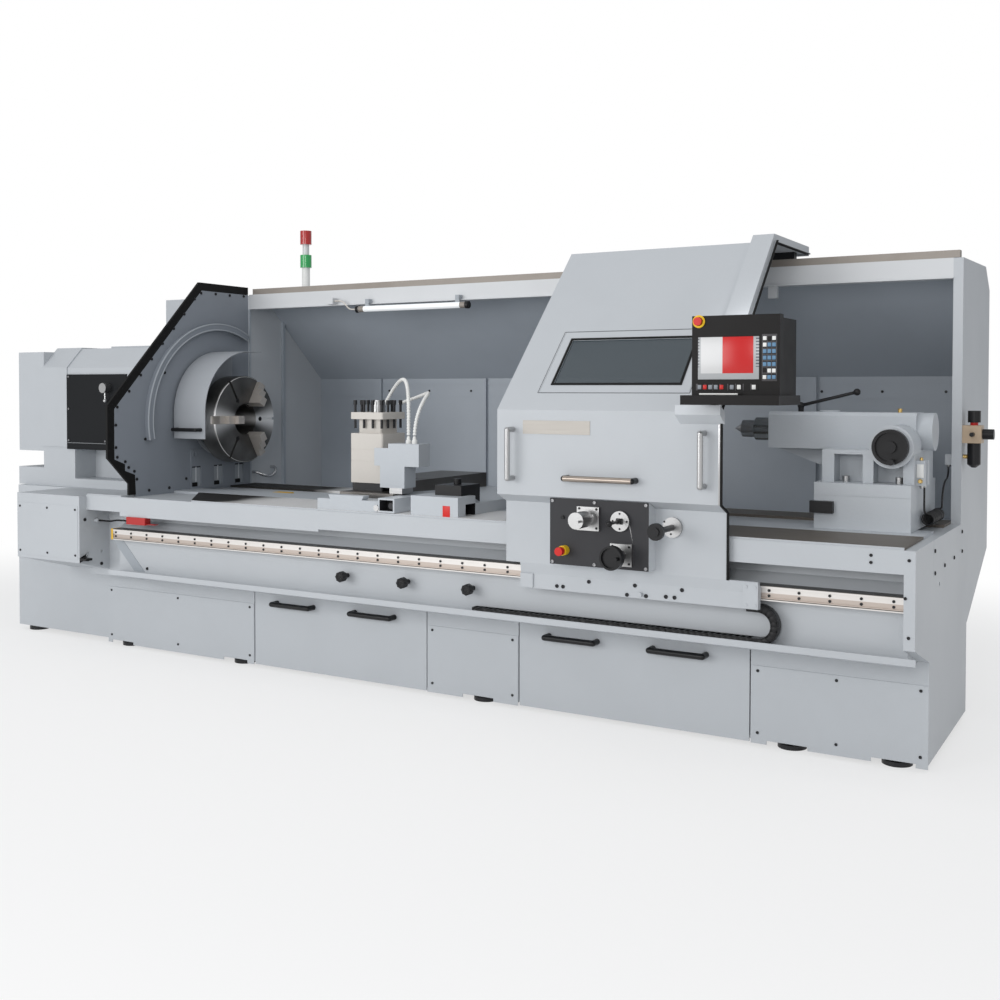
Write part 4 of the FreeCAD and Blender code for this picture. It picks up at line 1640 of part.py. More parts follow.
for name, part in made.items():
    part.Label = name
failed = [item.Name for item in doc.Objects if "Invalid" in item.State or "Error" in item.State]
if failed:
    raise RuntimeError("not recomputed: " + ", ".join(failed))
os.makedirs("parts", exist_ok=True)
whole = FreeCAD.BoundBox()
for name, part in made.items():
    shape = part.Shape
    if shape.isNull() or not shape.isValid() or not shape.Solids:
        raise RuntimeError("%s has no valid shape" % name)
    whole.add(shape.BoundBox)
    shape.exportStep("parts/%s.step" % name)
    print("%-16s solids %3d volume %.0f cm3" % (name, len(shape.Solids), shape.Volume / 1000))
print("whole machine: X %.1f..%.1f Y %.1f..%.1f Z %.1f..%.1f" % (
    whole.XMin, whole.XMax, whole.YMin, whole.YMax, whole.ZMin, whole.ZMax))
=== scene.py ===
# %% [markdown]
# # Dressing a turning lathe
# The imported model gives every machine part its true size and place. This lesson adds what the
# drawing leaves out: paint, ground steel, rubber, glass, small screws, hoses and the screen.
# The machine stands with its headstock at the left, the operator's side towards the front (minus
# Y) and the floor at zero. Blender works in metres, and the drawing's sizes are in millimetres.

# %% Load the machine
import math

import bmesh
import bpy
from mathutils import Matrix, Vector


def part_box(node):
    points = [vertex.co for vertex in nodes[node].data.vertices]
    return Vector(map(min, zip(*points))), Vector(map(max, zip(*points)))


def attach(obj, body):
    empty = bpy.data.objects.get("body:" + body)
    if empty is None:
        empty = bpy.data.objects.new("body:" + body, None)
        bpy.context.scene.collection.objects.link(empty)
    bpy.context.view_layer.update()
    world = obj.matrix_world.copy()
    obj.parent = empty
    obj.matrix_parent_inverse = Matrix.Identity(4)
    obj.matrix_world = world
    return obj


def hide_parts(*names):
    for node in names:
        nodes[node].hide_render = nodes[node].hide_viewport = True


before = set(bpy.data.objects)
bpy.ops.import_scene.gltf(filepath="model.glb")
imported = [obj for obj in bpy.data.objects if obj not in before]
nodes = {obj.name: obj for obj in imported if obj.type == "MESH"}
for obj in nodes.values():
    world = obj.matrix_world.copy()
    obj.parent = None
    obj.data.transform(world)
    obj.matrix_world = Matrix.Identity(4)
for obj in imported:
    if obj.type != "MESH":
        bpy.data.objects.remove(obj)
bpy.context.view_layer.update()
TO_FRONT, TO_RIGHT, TO_TOP = (0, -1, 0), (1, 0, 0), (0, 0, 1)
SPINDLE_Y, SPINDLE_Z = 10, 1270

# %% [markdown]
# ## Camera
# The photograph was taken with a normal lens, a little right of the machine's right end and at
# about chest height. Upright edges stay nearly upright in it, because the picture was framed by
# shifting the view instead of tilting the camera. The lens shift below does the same, and the
# camera's three directions are worked out from its yaw, pitch and roll.

# %% The photographer's place
yaw, pitch, roll = (math.radians(a) for a in (30.25, -1.43, 0.07))
ahead = Vector((-math.sin(yaw) * math.cos(pitch), math.cos(yaw) * math.cos(pitch), math.sin(pitch)))
level = Vector((math.cos(yaw), math.sin(yaw), 0))
above = level.cross(ahead)
side = level * math.cos(roll) + above * math.sin(roll)
top = above * math.cos(roll) - level * math.sin(roll)
lens = bpy.data.cameras.new("photographer")
lens.sensor_width = 36
lens.lens = 42.09
lens.shift_x = 0.0011
lens.shift_y = -0.0809
lens.clip_end = 60
camera = bpy.data.objects.new("photographer", lens)
camera.matrix_world = Matrix((side, top, -ahead)).transposed().to_4x4()
camera.location = (3.3739, -4.9853, 1.4381)
bpy.context.collection.objects.link(camera)
bpy.context.scene.camera = camera
print("camera at", tuple(round(v, 3) for v in camera.location))

# %% [markdown]
# ## The air hose
# A black nylon hose leaves the valve under the tailstock's end, runs through twenty curls and ends
# in a plug on the right wall. It's one NURBS spline: its points lie on the curls, twelve a turn, so
# the hose is as round as the real one, and the two leads only bend where they have to. The curls
# swell and shrink by about a millimetre, as a hose that hangs does. The material's slot is made
# here and filled in later.

# %% The coiled hose
CURLS, POINTS_A_CURL, CURL_STEP = 20, 12, 12
COIL_X, COIL_Y, COIL_Z = 2502, -69, 920
hose_points = [(2488, COIL_Y, 1062), (2488, COIL_Y, 1020), (2488, COIL_Y, 975),
               (2488.5, COIL_Y, 952), (2493, COIL_Y, 943.5)]
for step in range(CURLS * POINTS_A_CURL + 1):
    curl = step / POINTS_A_CURL
    swell = 22.3 + 1.2 * math.sin(2.3 * curl)
    hose_points.append((COIL_X + swell * math.sin(math.tau * curl), COIL_Y + CURL_STEP * curl,
                        COIL_Z + swell * math.cos(math.tau * curl)))
hose_points += [(2509, 171, 942.5), (2515, 171, 947), (2516, 171, 958), (2516, 171, 989),
                (2516, 194.7, 1029), (2516, 239, 1056), (2516, 292, 1063), (2516, 319, 1090),
                (2516, 319, 1121)]
hose_line = bpy.data.curves.new("air_hose_line", "CURVE")
hose_line.dimensions = "3D"
hose_spline = hose_line.splines.new("NURBS")
hose_spline.points.add(len(hose_points) - 1)
for point, (x, y, z) in zip(hose_spline.points, hose_points):
    point.co = (x / 1000, y / 1000, z / 1000, 1)
hose_spline.order_u = 3
hose_spline.use_endpoint_u = True
hose_line.resolution_u = 3
hose_line.bevel_depth = 0.004
hose_line.bevel_resolution = 3
hose_line.use_fill_caps = True
nylon_slot = bpy.data.materials.new("hose_nylon")
hose_line.materials.append(nylon_slot)
air_hose = bpy.data.objects.new("curled_air_hose", hose_line)
bpy.context.collection.objects.link(air_hose)
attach(air_hose, "tailstock")
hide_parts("air_hose")
print("hose points:", len(hose_points))

# %% [markdown]
# ## A short way to write materials
# A material is a graph of nodes. Wrapping a socket in a small class lets Python's own signs add
# the Math nodes, so that `1 - dirt * 0.4` reads like the sum it is.


# %% Signals and finishes
class Signal:
    """A socket of numbers that can be added, multiplied and compared."""

    def __init__(self, finish, socket):
        self.finish, self.socket = finish, socket

    def math(self, operation, *others, first=True):
        values = [self, *others] if first else [*others, self]
        return self.finish.node("Math", {"operation": operation}, dict(enumerate(values)))

    def __add__(self, other):
        return self.math("ADD", other)

    def __sub__(self, other):
        return self.math("SUBTRACT", other)

    def __rsub__(self, other):
        return self.math("SUBTRACT", other, first=False)

    def __mul__(self, other):
        return self.math("MULTIPLY", other)

    def __pow__(self, other):
        return self.math("POWER", other)

    __radd__, __rmul__ = __add__, __mul__


class Finish:
    """A material in the making: one method adds any node, another sets the surface."""

    def __init__(self, name, colour, rough, metal=0.0, material=None, **plain):
        self.material = material or bpy.data.materials.new(name)
        self.material.use_nodes = True
        self.tree = self.material.node_tree
        self.shader = self.tree.nodes["Principled BSDF"]
        self.material.diffuse_color = (*colour, 1)
        self.set(**{"Base Color": (*colour, 1), "Roughness": rough, "Metallic": metal}, **plain)

    def node(self, kind, settings=None, inputs=None, output=0):
        made = self.tree.nodes.new("ShaderNode" + kind)
        for key, value in (settings or {}).items():
            if key == "stops":
                while len(made.color_ramp.elements) < len(value):
                    made.color_ramp.elements.new(0.5)
                for element, (spot, shade) in zip(made.color_ramp.elements, value):
                    element.position, element.color = spot, (*shade, 1)
            else:
                setattr(made, key, value)
        for key, value in (inputs or {}).items():
            self.feed(made.inputs[key], value)
        return Signal(self, made.outputs[output])

    def feed(self, socket, value):
        if isinstance(value, Signal):
            self.tree.links.new(value.socket, socket)
        else:
            socket.default_value = value

    def set(self, **values):
        for key, value in values.items():
            self.feed(self.shader.inputs[key.replace("_", " ")], value)
        return self

    def place(self, scale=(1, 1, 1), turn=(0, 0, 0), centre=(0, 0, 0)):
        """Object coordinates about a centre, turned and stretched."""
        spot = self.node("TexCoord", output="Object")
        moved = self.node("VectorMath", {"operation": "SUBTRACT"}, {0: spot, 1: centre})
        return self.node("Mapping", inputs={"Vector": moved, "Rotation": turn, "Scale": scale})

    def noise(self, size, detail=3, rough=0.5, where=None):
        return self.node("TexNoise", inputs={
            "Vector": where or self.place(), "Scale": size, "Detail": detail, "Roughness": rough})

    def blend(self, amount, low, high):
        """A colour between two, by a signal."""
        mix = self.tree.nodes.new("ShaderNodeMix")
        mix.data_type = "RGBA"
        self.feed(mix.inputs["Factor"], amount)
        for name, value in (("A", low), ("B", high)):
            socket = [s for s in mix.inputs if s.name == name and s.type == "RGBA"][0]
            self.feed(socket, value if isinstance(value, Signal) else (*value, 1))
        return Signal(self, [s for s in mix.outputs if s.type == "RGBA"][0])

    def ramp(self, amount, low, high):
        """0 below low, 1 above high, and even between."""
        return self.node("MapRange", {"interpolation_type": "SMOOTHSTEP"}, {
            "Value": amount, "From Min": low, "From Max": high})

    def bump(self, height, distance, strength=1.0):
        normal = self.node("Bump", inputs={
            "Height": height, "Distance": distance, "Strength": strength})
        return self.set(Normal=normal)


def linear(red, green, blue):
    """A screen colour, 0 to 255, as the linear values that a shader takes."""
    return tuple(((v / 255 + 0.055) / 1.055) ** 2.4 if v > 10 else v / 255 / 12.92
                 for v in (red, green, blue))


print("finish kit ready")

# %% [markdown]
# ## Machine paint
# Textured two-pack paint on sheet and castings: a satin grey with an orange-peel skin a few
# millimetres across. Large soft clouds of dust dull it slightly. One function makes every paint,
# because only the colour, the gloss, the depth of the skin and the amount of dust differ.


# %% Painted surfaces
def machine_paint(name, colour, rough=0.42, peel=0.00022, grime=0.10, shine=0.5):
    paint = Finish(name, colour, rough, Specular_IOR_Level=shine)
    clouds = paint.noise(2.1, 4, 0.6)
    fine = paint.noise(170, 2)
    dust = paint.ramp(clouds, 0.42, 0.72) * grime
    darker = tuple(v * 0.72 for v in colour)
    paint.set(**{"Base Color": paint.blend(dust, colour, darker),
                 "Roughness": rough - 0.06 + clouds * 0.14 + fine * 0.03})
    return paint.bump(fine + paint.noise(60, 2) * 0.5, peel)


light_grey = linear(186, 190, 194)
paint = machine_paint("machine_grey", light_grey)
cast_paint = machine_paint("casting_grey", linear(184, 189, 194), 0.38, 0.0006)
inner_paint = machine_paint("inner_grey", linear(160, 166, 172), 0.5, 0.00022, 0.2)
pale_paint = machine_paint("pale_grey", linear(200, 204, 208), 0.4, 0.0002, 0.06)
pale_roof = machine_paint("roof_white", linear(206, 208, 210), 0.36, 0.0002, 0.12)
charcoal = machine_paint("charcoal_panel", linear(50, 50, 53), 0.45, 0.00015, 0.08, 0.3)
ivory = machine_paint("ivory_block", linear(203, 198, 191), 0.46, 0.0002, 0.14)
red_paint = machine_paint("red_switch", linear(176, 36, 34), 0.4, 0.0001)
yellow_paint = machine_paint("yellow_stop", linear(216, 172, 40), 0.4, 0.0001)
wall_paint = machine_paint("blue_grey_wall", linear(166, 173, 181), 0.42, 0.00022, 0.2)
# A darker copy of the machine grey for the splash plate: painted shade, as the plate has the machine's
# paint
shaded_plate_paint = machine_paint("splash_plate_shaded_grey", linear(132, 138, 146), 0.48, 0.00022, 0.12)
panel_black = machine_paint("panel_black", linear(20, 22, 25), 0.5, 0.00012, 0.1, 0.18)
# A darker copy of the machine grey for the chuck's hood: painted shade
shaded_hood_paint = machine_paint("shaded_hood_grey", linear(160, 164, 169), 0.42, 0.0003, 0.12)
tan_metal = machine_paint("tan_casting", linear(186, 164, 138), 0.4, 0.0002, 0.1)
brass = Finish("brass", (0.62, 0.43, 0.16), 0.32, 1.0)
brass.set(Roughness=0.26 + brass.noise(90, 3) * 0.16)
print("paints:", len(bpy.data.materials))

# %% [markdown]
# ## Bare and blackened steel
# Ground ways show long scratches along the travel, turned faces show rings about their axis,
# and blackened screws are dark with a dull sheen. A noise stretched along one direction gives the
# scratches, and a sine of the distance from the axis gives the rings. The ways' colour follows the
# place along the bed: a painted reflection makes them near black at the chuck and bright where the
# carriage runs, and they turn brown at the tailstock. The rail has bands by height: pale edges, a
# beige middle and two dark bands of painted shade in its grooves. The chuck's face has a painted
# highlight in its colour: two bright wedges and a bright rim, as a turned face shows under a soft light.


# %% Steels
def ground_steel(name, colour, rough, stretch, scratch=0.00004, stain=0.25):
    steel = Finish(name, colour, rough, 1.0)
    grain = steel.noise(260, 2, where=steel.place(stretch))
    oil = steel.noise(3.2, 4, 0.65)
    stains = steel.ramp(oil, 0.46, 0.7) * stain
    brown = tuple(c * f for c, f in zip(colour, (0.62, 0.56, 0.5)))
    steel.set(**{"Base Color": steel.blend(stains, colour, brown),
                 "Roughness": rough - 0.1 + grain * 0.12 + oil * 0.12})
    return steel.bump(grain, scratch)


def turned_steel(name, colour, rough, centre, axis, pitch=1.6):
    """Rings about an axis through a centre."""
    steel = Finish(name, colour, rough, 1.0)
    spot = steel.place(tuple(0.0 if a else 1.0 for a in axis), centre=centre)
    away = steel.node("VectorMath", {"operation": "LENGTH"}, {0: spot}, "Value")
    rings = (away * (6283 / pitch)).math("SINE")
    wear = steel.noise(9, 4, 0.6)
    steel.set(**{"Base Color": steel.blend(wear * 0.5, colour, tuple(c * 0.6 for c in colour)),
                 "Roughness": rough - 0.08 + wear * 0.14 + rings * 0.03})
    return steel.bump(rings * 0.5 + steel.noise(300, 2) * 0.4, 0.00005)


way_steel = ground_steel("ground_ways", (0.78, 0.77, 0.76), 0.44, (0.02, 1, 1), stain=0.2)
way_steel.set(Specular_IOR_Level=0.06)
travel = Signal(way_steel, way_steel.node("SeparateXYZ", inputs={0: way_steel.place()}).socket)
soft_edge = way_steel.noise(4, 3) * 0.25
# Painted reflection: near black at the chuck and bright where the carriage runs; brown towards the
# tailstock
painted_reflection = way_steel.ramp(travel + soft_edge, -0.66, -0.42)
worn = way_steel.ramp(travel + soft_edge, 0.9, 1.5)
painted_reflection_colour = way_steel.blend(painted_reflection, (0.030, 0.029, 0.028), (0.90, 0.89, 0.88))
way_steel.set(**{"Base Color": way_steel.blend(worn, painted_reflection_colour, (0.17, 0.15, 0.13)), "Metallic": painted_reflection * 0.5})
rail_steel = ground_steel("ground_rail", (0.40, 0.375, 0.345), 0.36, (0.02, 1, 1), stain=0.15)
RAIL_FOOT, RAIL_HEIGHT = 0.642, 0.058
height = rail_steel.node("SeparateXYZ", inputs={0: rail_steel.place()}).socket.node.outputs["Z"]
share = (Signal(rail_steel, height) - RAIL_FOOT) * (1 / RAIL_HEIGHT)
# The two dark bands are painted shade in the rail's grooves
pale, beige, groove_shade = (0.74, 0.71, 0.68), (0.52, 0.45, 0.40), (0.05, 0.045, 0.04)
bands = rail_steel.node("ValToRGB", {"stops": (
    (0.0, pale), (0.07, pale), (0.09, groove_shade), (0.12, groove_shade), (0.14, beige), (0.49, beige),
    (0.52, pale), (0.93, pale), (0.96, groove_shade), (1.0, groove_shade))}, {0: share})
rail_steel.set(**{"Base Color": bands, "Metallic": 0.55})
beam_steel = ground_steel("beam_steel", (0.30, 0.27, 0.24), 0.5, (0.02, 1, 1), stain=0.15)
beam_steel.set(Metallic=0.3)
bright_steel = ground_steel("bright_steel", (0.46, 0.46, 0.46), 0.32, (1, 0.2, 1), stain=0.08)
satin_plate = Finish("satin_nameplate", linear(184, 180, 174), 0.5, 0.25)
brushed = satin_plate.noise(240, 2, where=satin_plate.place((0.03, 1, 1)))
satin_plate.set(Roughness=0.42 + brushed * 0.16, **{"Base Color": satin_plate.blend(
    brushed * 0.4, linear(184, 179, 172), linear(166, 161, 154))})
slide_steel = ground_steel("oiled_slide", (0.17, 0.16, 0.15), 0.36, (1, 0.03, 1), stain=0.4)
bronze = ground_steel("grip_bronze", (0.36, 0.31, 0.27), 0.3, (0.1, 1, 1), stain=0.2)
spindle_axis = (0, SPINDLE_Y / 1000, SPINDLE_Z / 1000)
CHUCK_FACE, RIM_INNER, RIM_OUTER = -1.2045, 0.2375, 0.2405
chuck_steel = turned_steel("turned_chuck", (0.38, 0.37, 0.36), 0.34, spindle_axis, (1, 0, 0), 3.0)
face_spot = chuck_steel.node("SeparateXYZ", inputs={0: chuck_steel.place(centre=spindle_axis)})
side_way = Signal(chuck_steel, face_spot.socket.node.outputs["Y"])
up_way = Signal(chuck_steel, face_spot.socket.node.outputs["Z"])
far_out = (side_way * side_way + up_way * up_way) ** 0.5 + 0.0001
# Painted highlight: two bright wedges at the chuck's sides, broken up by noise, painted into its colour
painted_highlight_wedges = side_way.math("ABSOLUTE").math("DIVIDE", far_out) ** 26
painted_sheen_noise = chuck_steel.noise(5, 3) * 0.3
painted_sheen = chuck_steel.blend((painted_highlight_wedges + painted_sheen_noise - 0.12).math("MAXIMUM", 0.0).math("MINIMUM", 1.0),
                          (0.045, 0.044, 0.042), (0.95, 0.94, 0.93))
on_face = Signal(chuck_steel, face_spot.socket).math("GREATER_THAN", CHUCK_FACE)
# The bright rim on the face is a painted highlight
rim = chuck_steel.ramp(far_out, RIM_INNER, RIM_OUTER) * on_face * 0.8
chuck_steel.set(**{"Base Color": chuck_steel.blend(rim, painted_sheen, (0.85, 0.84, 0.83)), "Metallic": 0.55})
jaw_steel = ground_steel("hardened_jaws", (0.50, 0.465, 0.43), 0.36, (1, 1, 0.1), stain=0.3)
jaw_steel.set(Metallic=0.5)
quill_steel = turned_steel("turned_quill", (0.55, 0.55, 0.54), 0.22, spindle_axis, (1, 0, 0), 2.0)
black_steel = Finish("blackened_steel", (0.022, 0.022, 0.024), 0.38, 0.5)
black_steel.set(Roughness=0.3 + black_steel.noise(140, 3) * 0.2)
screw_steel = Finish("zinc_screws", (0.34, 0.34, 0.35), 0.38, 0.9)
screw_steel.set(Roughness=0.3 + screw_steel.noise(220, 2) * 0.16)
print("steels:", [m.name for m in bpy.data.materials if "steel" in m.name])

# %% [markdown]
# ## Rubber, plastic and glass
# Moulded knobs have a fine spark-eroded skin, and the seals are softer and more matt. One function
# makes them all, as with the paints. The window is scratched safety glass over a dark inside. Its
# dark grey at high alpha is painted shade of that inside, rather than clear glass: a lower alpha
# does that with less noise than real refraction.


# %% Plastics, rubber and glass
def moulded(name, colour, rough=0.4, skin=0.00008, size=420, shine=0.3):
    plastic = Finish(name, colour, rough, Specular_IOR_Level=shine)
    grain = plastic.noise(size, 2)
    rub = plastic.noise(14, 3)
    paler = tuple(c * 1.6 + 0.004 for c in colour)
    plastic.set(**{"Base Color": plastic.blend(rub * 0.35, colour, paler),
                   "Roughness": rough - 0.05 + rub * 0.14})
    return plastic.bump(grain, skin)


black_plastic = moulded("black_plastic", (0.008, 0.008, 0.009), 0.34)
rubber = moulded("black_rubber", (0.006, 0.006, 0.006), 0.62, 0.0002, 260, 0.2)
nylon = Finish("hose_nylon", (0.008, 0.008, 0.009), 0.4, material=nylon_slot, Specular_IOR_Level=0.4)
nylon.set(Roughness=0.34 + nylon.noise(200, 2) * 0.12)
bezel_black = moulded("bezel_black", (0.007, 0.006, 0.006), 0.36, shine=0.16)
red_plastic = moulded("red_plastic", (0.55, 0.018, 0.014), 0.3)
yellow_plastic = moulded("yellow_plastic", (0.75, 0.48, 0.02), 0.36)
white_plastic = moulded("white_plastic", (0.72, 0.72, 0.70), 0.42)
grey_keys = moulded("grey_keys", (0.25, 0.27, 0.30), 0.4)
green_lens = Finish("green_lens", (0.02, 0.36, 0.09), 0.18, Coat_Weight=0.5)
green_lens.set(Roughness=0.14 + green_lens.noise(60, 2) * 0.12)
red_lens = Finish("red_lens", (0.42, 0.015, 0.012), 0.18, Coat_Weight=0.5)
red_lens.set(Roughness=0.14 + red_lens.noise(60, 2) * 0.12)
clear_lens = Finish("clear_lens", (0.62, 0.64, 0.64), 0.2)
clear_lens.set(Roughness=0.16 + clear_lens.noise(60, 2) * 0.12)

# The window's dark grey is painted shade of the inside seen through it
window = Finish("window_glass", linear(66, 76, 82), 0.12, Specular_IOR_Level=0.35)
smears = window.noise(1.6, 2, 0.4)
window.set(Roughness=0.10 + smears * 0.06, Alpha=0.80 + smears * 0.06)
window.material.surface_render_method = "BLENDED"

tube_glass = Finish("lamp_tube", (0.80, 0.82, 0.82), 0.2)
tube_glass.set(**{"Emission Color": (0.95, 0.97, 1.0, 1), "Emission Strength": 0.25,
                  "Roughness": 0.16 + tube_glass.noise(30, 2) * 0.1})
print("materials:", len(bpy.data.materials))

# %% [markdown]
# ## Which finish goes where
# Most parts have one finish. Where one drawn part is painted in several colours, each face picks
# its slot by where it lies. That keeps the drawn mesh as it is, and it needs no second copy of a
# part. A later row of the table may paint over an earlier one, so the rows keep their order.

# %% One finish for each drawn part
finish_of = {
    paint: "base_cabinet left_cabinet bed bed_front_cover fascia right_housing enclosure_walls "
           "headstock guard_shell slide_beam drawer_1 drawer_2",
    shaded_plate_paint: "splash_plate",
    pale_roof: "roof_beam",
    cast_paint: "saddle cross_slide tailstock",
    pale_paint: "control_panel",
    shaded_hood_paint: "chuck_guard",
    panel_black: "gear_panel",
    ivory: "tool_post lamp_cable",
    red_paint: "door_switch",
    way_steel: "bed_ways",
    rail_steel: "guide_rail",
    bright_steel: "guard_fittings feed_wheel_z speed_lever live_centre",
    chuck_steel: "chuck",
    jaw_steel: "jaw_1 jaw_2 jaw_3",
    quill_steel: "quill",
    black_steel: "socket_screws levelling_feet clamp_bolts",
    rubber: "splash_seal guard_seals switch_cable air_hose",
    black_plastic: "cable_chain bed_knob_1 bed_knob_2 bed_knob_3 joystick guard_knob feed_wheel_x "
                   "tailstock_wheel air_knob air_unit quill_lever",
    bezel_black: "pendant",
    red_plastic: "panel_stop pendant_stop",
    white_plastic: "coolant_hoses signal_tower",
    window: "guard_window",
    tube_glass: "lamp",
}
chrome = Finish("corrugated_chrome", (0.62, 0.62, 0.63), 0.2, 1.0)
ripple = chrome.node("TexWave", {"bands_direction": "Y"}, {
    "Vector": chrome.place(), "Scale": 45.0, "Distortion": 0.0})
chrome.bump(ripple, 0.0012)
finish_of[chrome] = "coolant_pipe"
for finish, names in finish_of.items():
    for name in names.split():
        nodes[name].data.materials.clear()
        nodes[name].data.materials.append(finish.material)
print("dressed:", sum(len(names.split()) for names in finish_of.values()), "of", len(nodes))


# %% Faces that differ from the rest of their part
def recolour(name, finish, test):
    """Gives a finish to the faces of a drawn part whose middle passes a test, in millimetres."""
    mesh = nodes[name].data
    mesh.materials.append(finish.material)
    slot = len(mesh.materials) - 1
    chosen = [face for face in mesh.polygons
              if test(*(v * 1000 for v in face.center), face.normal)]
    for face in chosen:
        face.material_index = slot
    print(name, finish.material.name, len(chosen), "faces")


def within(low, high, slack=0.6):
    """A test for faces inside a box given by two corners in millimetres."""
    return lambda x, y, z, normal: all(a - slack <= v <= b + slack
                                       for a, v, b in zip(low, (x, y, z), high))


REPAINTED = (
    # The rail's yellow end stop
    ("guide_rail", yellow_paint, within((-1527, -673, 641), (-1511.7, -611, 701))),
    # The pendant's bracket
    ("guard_fittings", pale_paint, within((1700, -846, 1300), (1906, -790, 1390))),
    # The shoes that ride on the roof's rail
    ("guard_fittings", black_plastic, within((900, 280, 2030), (1900, 330, 2070))),
    # The inner walls
    ("enclosure_walls", wall_paint, lambda x, y, z, normal: y < 959 and z < 2000 and x > -1419),
    # The panel's front sheet
    ("control_panel", charcoal, lambda x, y, z, normal: -782.6 < y < -781.4 and normal.y < -0.9),
    # The plates under the hand controls
    ("control_panel", bright_steel, within((1290, -797, 877), (1389, -782.5, 974))),
    ("control_panel", bright_steel, within((1436, -797, 745), (1531, -782.5, 836))),
    ("control_panel", bright_steel, within((1438, -797, 882), (1520, -782.5, 964))),
    # The stop button's collar and the blank button
    ("control_panel", yellow_plastic, within((1212, -814, 771), (1254, -782.5, 813))),
    ("control_panel", black_plastic, within((1214, -792, 915), (1232, -782.5, 933))),
    # The tower's lenses
    ("signal_tower", green_lens, within((-1265, 540, 2177), (-1190, 615, 2255))),
    ("signal_tower", clear_lens, within((-1265, 540, 2255), (-1190, 615, 2317.5))),
    ("signal_tower", red_lens, within((-1265, 540, 2318), (-1190, 615, 2401))),
    # The tailstock's black block, clamp nuts and oiler
    ("tailstock", black_plastic, within((2080, -276, 943), (2175, -250.6, 993))),
    ("tailstock", bright_steel, within((2160, -170, 1066.6), (2430, -130, 1091))),
    ("tailstock", brass, within((2360, -5, 1347.6), (2390, 25, 1364))),
    # The drawers' grips
    ("drawer_1", black_plastic, within((-700, -480, 326), (300, -415.6, 374))),
    ("drawer_2", black_plastic, within((820, -480, 326), (1900, -415.6, 374))),
    # The cable gland
    ("left_cabinet", black_plastic, within((-1688.6, -745, 520), (-1630, -690, 545))),
    # The hood's grip
    ("chuck_guard", black_plastic, within((-1395, -410, 1196), (-1185, -337, 1244))),
    # The carriage's motor, its duct's knob, and the dark mouths of its duct and gearbox: painted shade in
    # the openings
    ("saddle", black_plastic, within((484, -602, 966.5), (625, -438, 1040))),
    ("saddle", charcoal, within((239, -687, 889), (315, -624, 940))),
    ("saddle", bright_steel, within((206, -690, 885), (236, -640, 915))),
    ("saddle", black_steel, within((594, -613, 880), (653.5, -530, 933))),
    # The cross slide's ways and its telescopic cover
    ("cross_slide", slide_steel, within((-86, -561, 929), (226, -239, 955))),
    ("cross_slide", slide_steel, within((-61, -401, 950), (226, 286, 1006))),
    ("cross_slide", bright_steel, within((183, -531, 954.5), (256, -439, 979))),
    # The painted band between the ways and the front way's edge
    ("bed_ways", cast_paint, within((-1421, -323, 867), (2535, -119, 881))),
    ("bed_ways", paint, lambda x, y, z, normal: y < -640 and normal.y < -0.5),
    # The rail under the roof beam
    ("roof_beam", beam_steel, within((-1393, 284, 2001.5), (2560, 326, 2036))),
    # The bare nameplate, the pull bar and its ends
    ("guard_fittings", satin_plate, within((1040, -796, 1256), (1350, -790, 1317))),
    ("guard_fittings", bronze, within((1257, -850, 1066), (1530, -815, 1104))),
    ("guard_fittings", black_plastic, within((1530.5, -850, 1066), (1562, -790.5, 1104))),
    ("guard_fittings", black_plastic, within((1233, -850, 1066), (1256.5, -790.5, 1104))),
    # The lamp's bracket
    ("lamp", inner_paint, within((-700, 230, 1903), (200, 281, 1945))),
    # The filter's body and its red neck
    ("air_unit", tan_metal, within((2573, 289, 1214), (2656, 371, 1291))),
    ("air_unit", red_plastic, within((2590, 300, 1291), (2642, 360, 1330))),
    # The cross slide's wiper
    ("cross_slide", rubber, within((-69, -245, 929), (-60.4, 290, 1000))),
    # The tool post's knob and its foot
    ("tool_post", bright_steel, within((-40, -420, 1330.4), (50, -330, 1400))),
    ("tool_post", black_steel, within((-90, -470, 930), (100, -280, 991.4))),
)
for name, finish, test in REPAINTED:
    recolour(name, finish, test)

# %% [markdown]
# ## Tools for new pieces
# Every small piece below starts from a bmesh operator: a cube, a cone, or an outline spun into a
# turned part. Sizes are written in millimetres, as on the drawing, and one helper scales them,
# turns the faces outwards and hangs the piece on the machine part that carries it. Two short
# helpers make the commonest pieces, one box or one turned part, in a single line.


# %% Modelling helpers
SHARP_ANGLE = math.radians(32)


def along(axis):
    """A turn that lays a shape's own Z on an axis."""
    return Vector(axis).to_track_quat("Z", "Y").to_matrix().to_4x4()


def add_box(shape, low, high, edge=0.0):
    low, high = Vector(low), Vector(high)
    lie = Matrix.Translation((low + high) / 2) @ Matrix.Diagonal((*(high - low), 1))
    made = bmesh.ops.create_cube(shape, size=1, matrix=lie)["verts"]
    if edge:
        sides = list({side for vert in made for side in vert.link_edges})
        bmesh.ops.bevel(shape, geom=sides, affect="EDGES", offset=edge, segments=2, profile=0.5,
                        material=-1)


def newer(shape, before):
    return [vert for vert in shape.verts if vert not in before]


def add_turned(shape, outline, at, axis=TO_FRONT, sides=32):
    """Spins an outline of (radius, height) pairs about an axis that starts at a point."""
    before = set(shape.verts)
    line = [shape.verts.new((radius, 0, height)) for radius, height in outline]
    edges = [shape.edges.new(pair) for pair in zip(line, line[1:])]
    bmesh.ops.spin(shape, geom=line + edges, angle=math.tau, steps=sides, axis=(0, 0, 1),
                   cent=(0, 0, 0), use_merge=True)
    bmesh.ops.remove_doubles(shape, verts=newer(shape, before), dist=0.001)
    bmesh.ops.transform(shape, matrix=Matrix.Translation(at) @ along(axis),
                        verts=newer(shape, before))


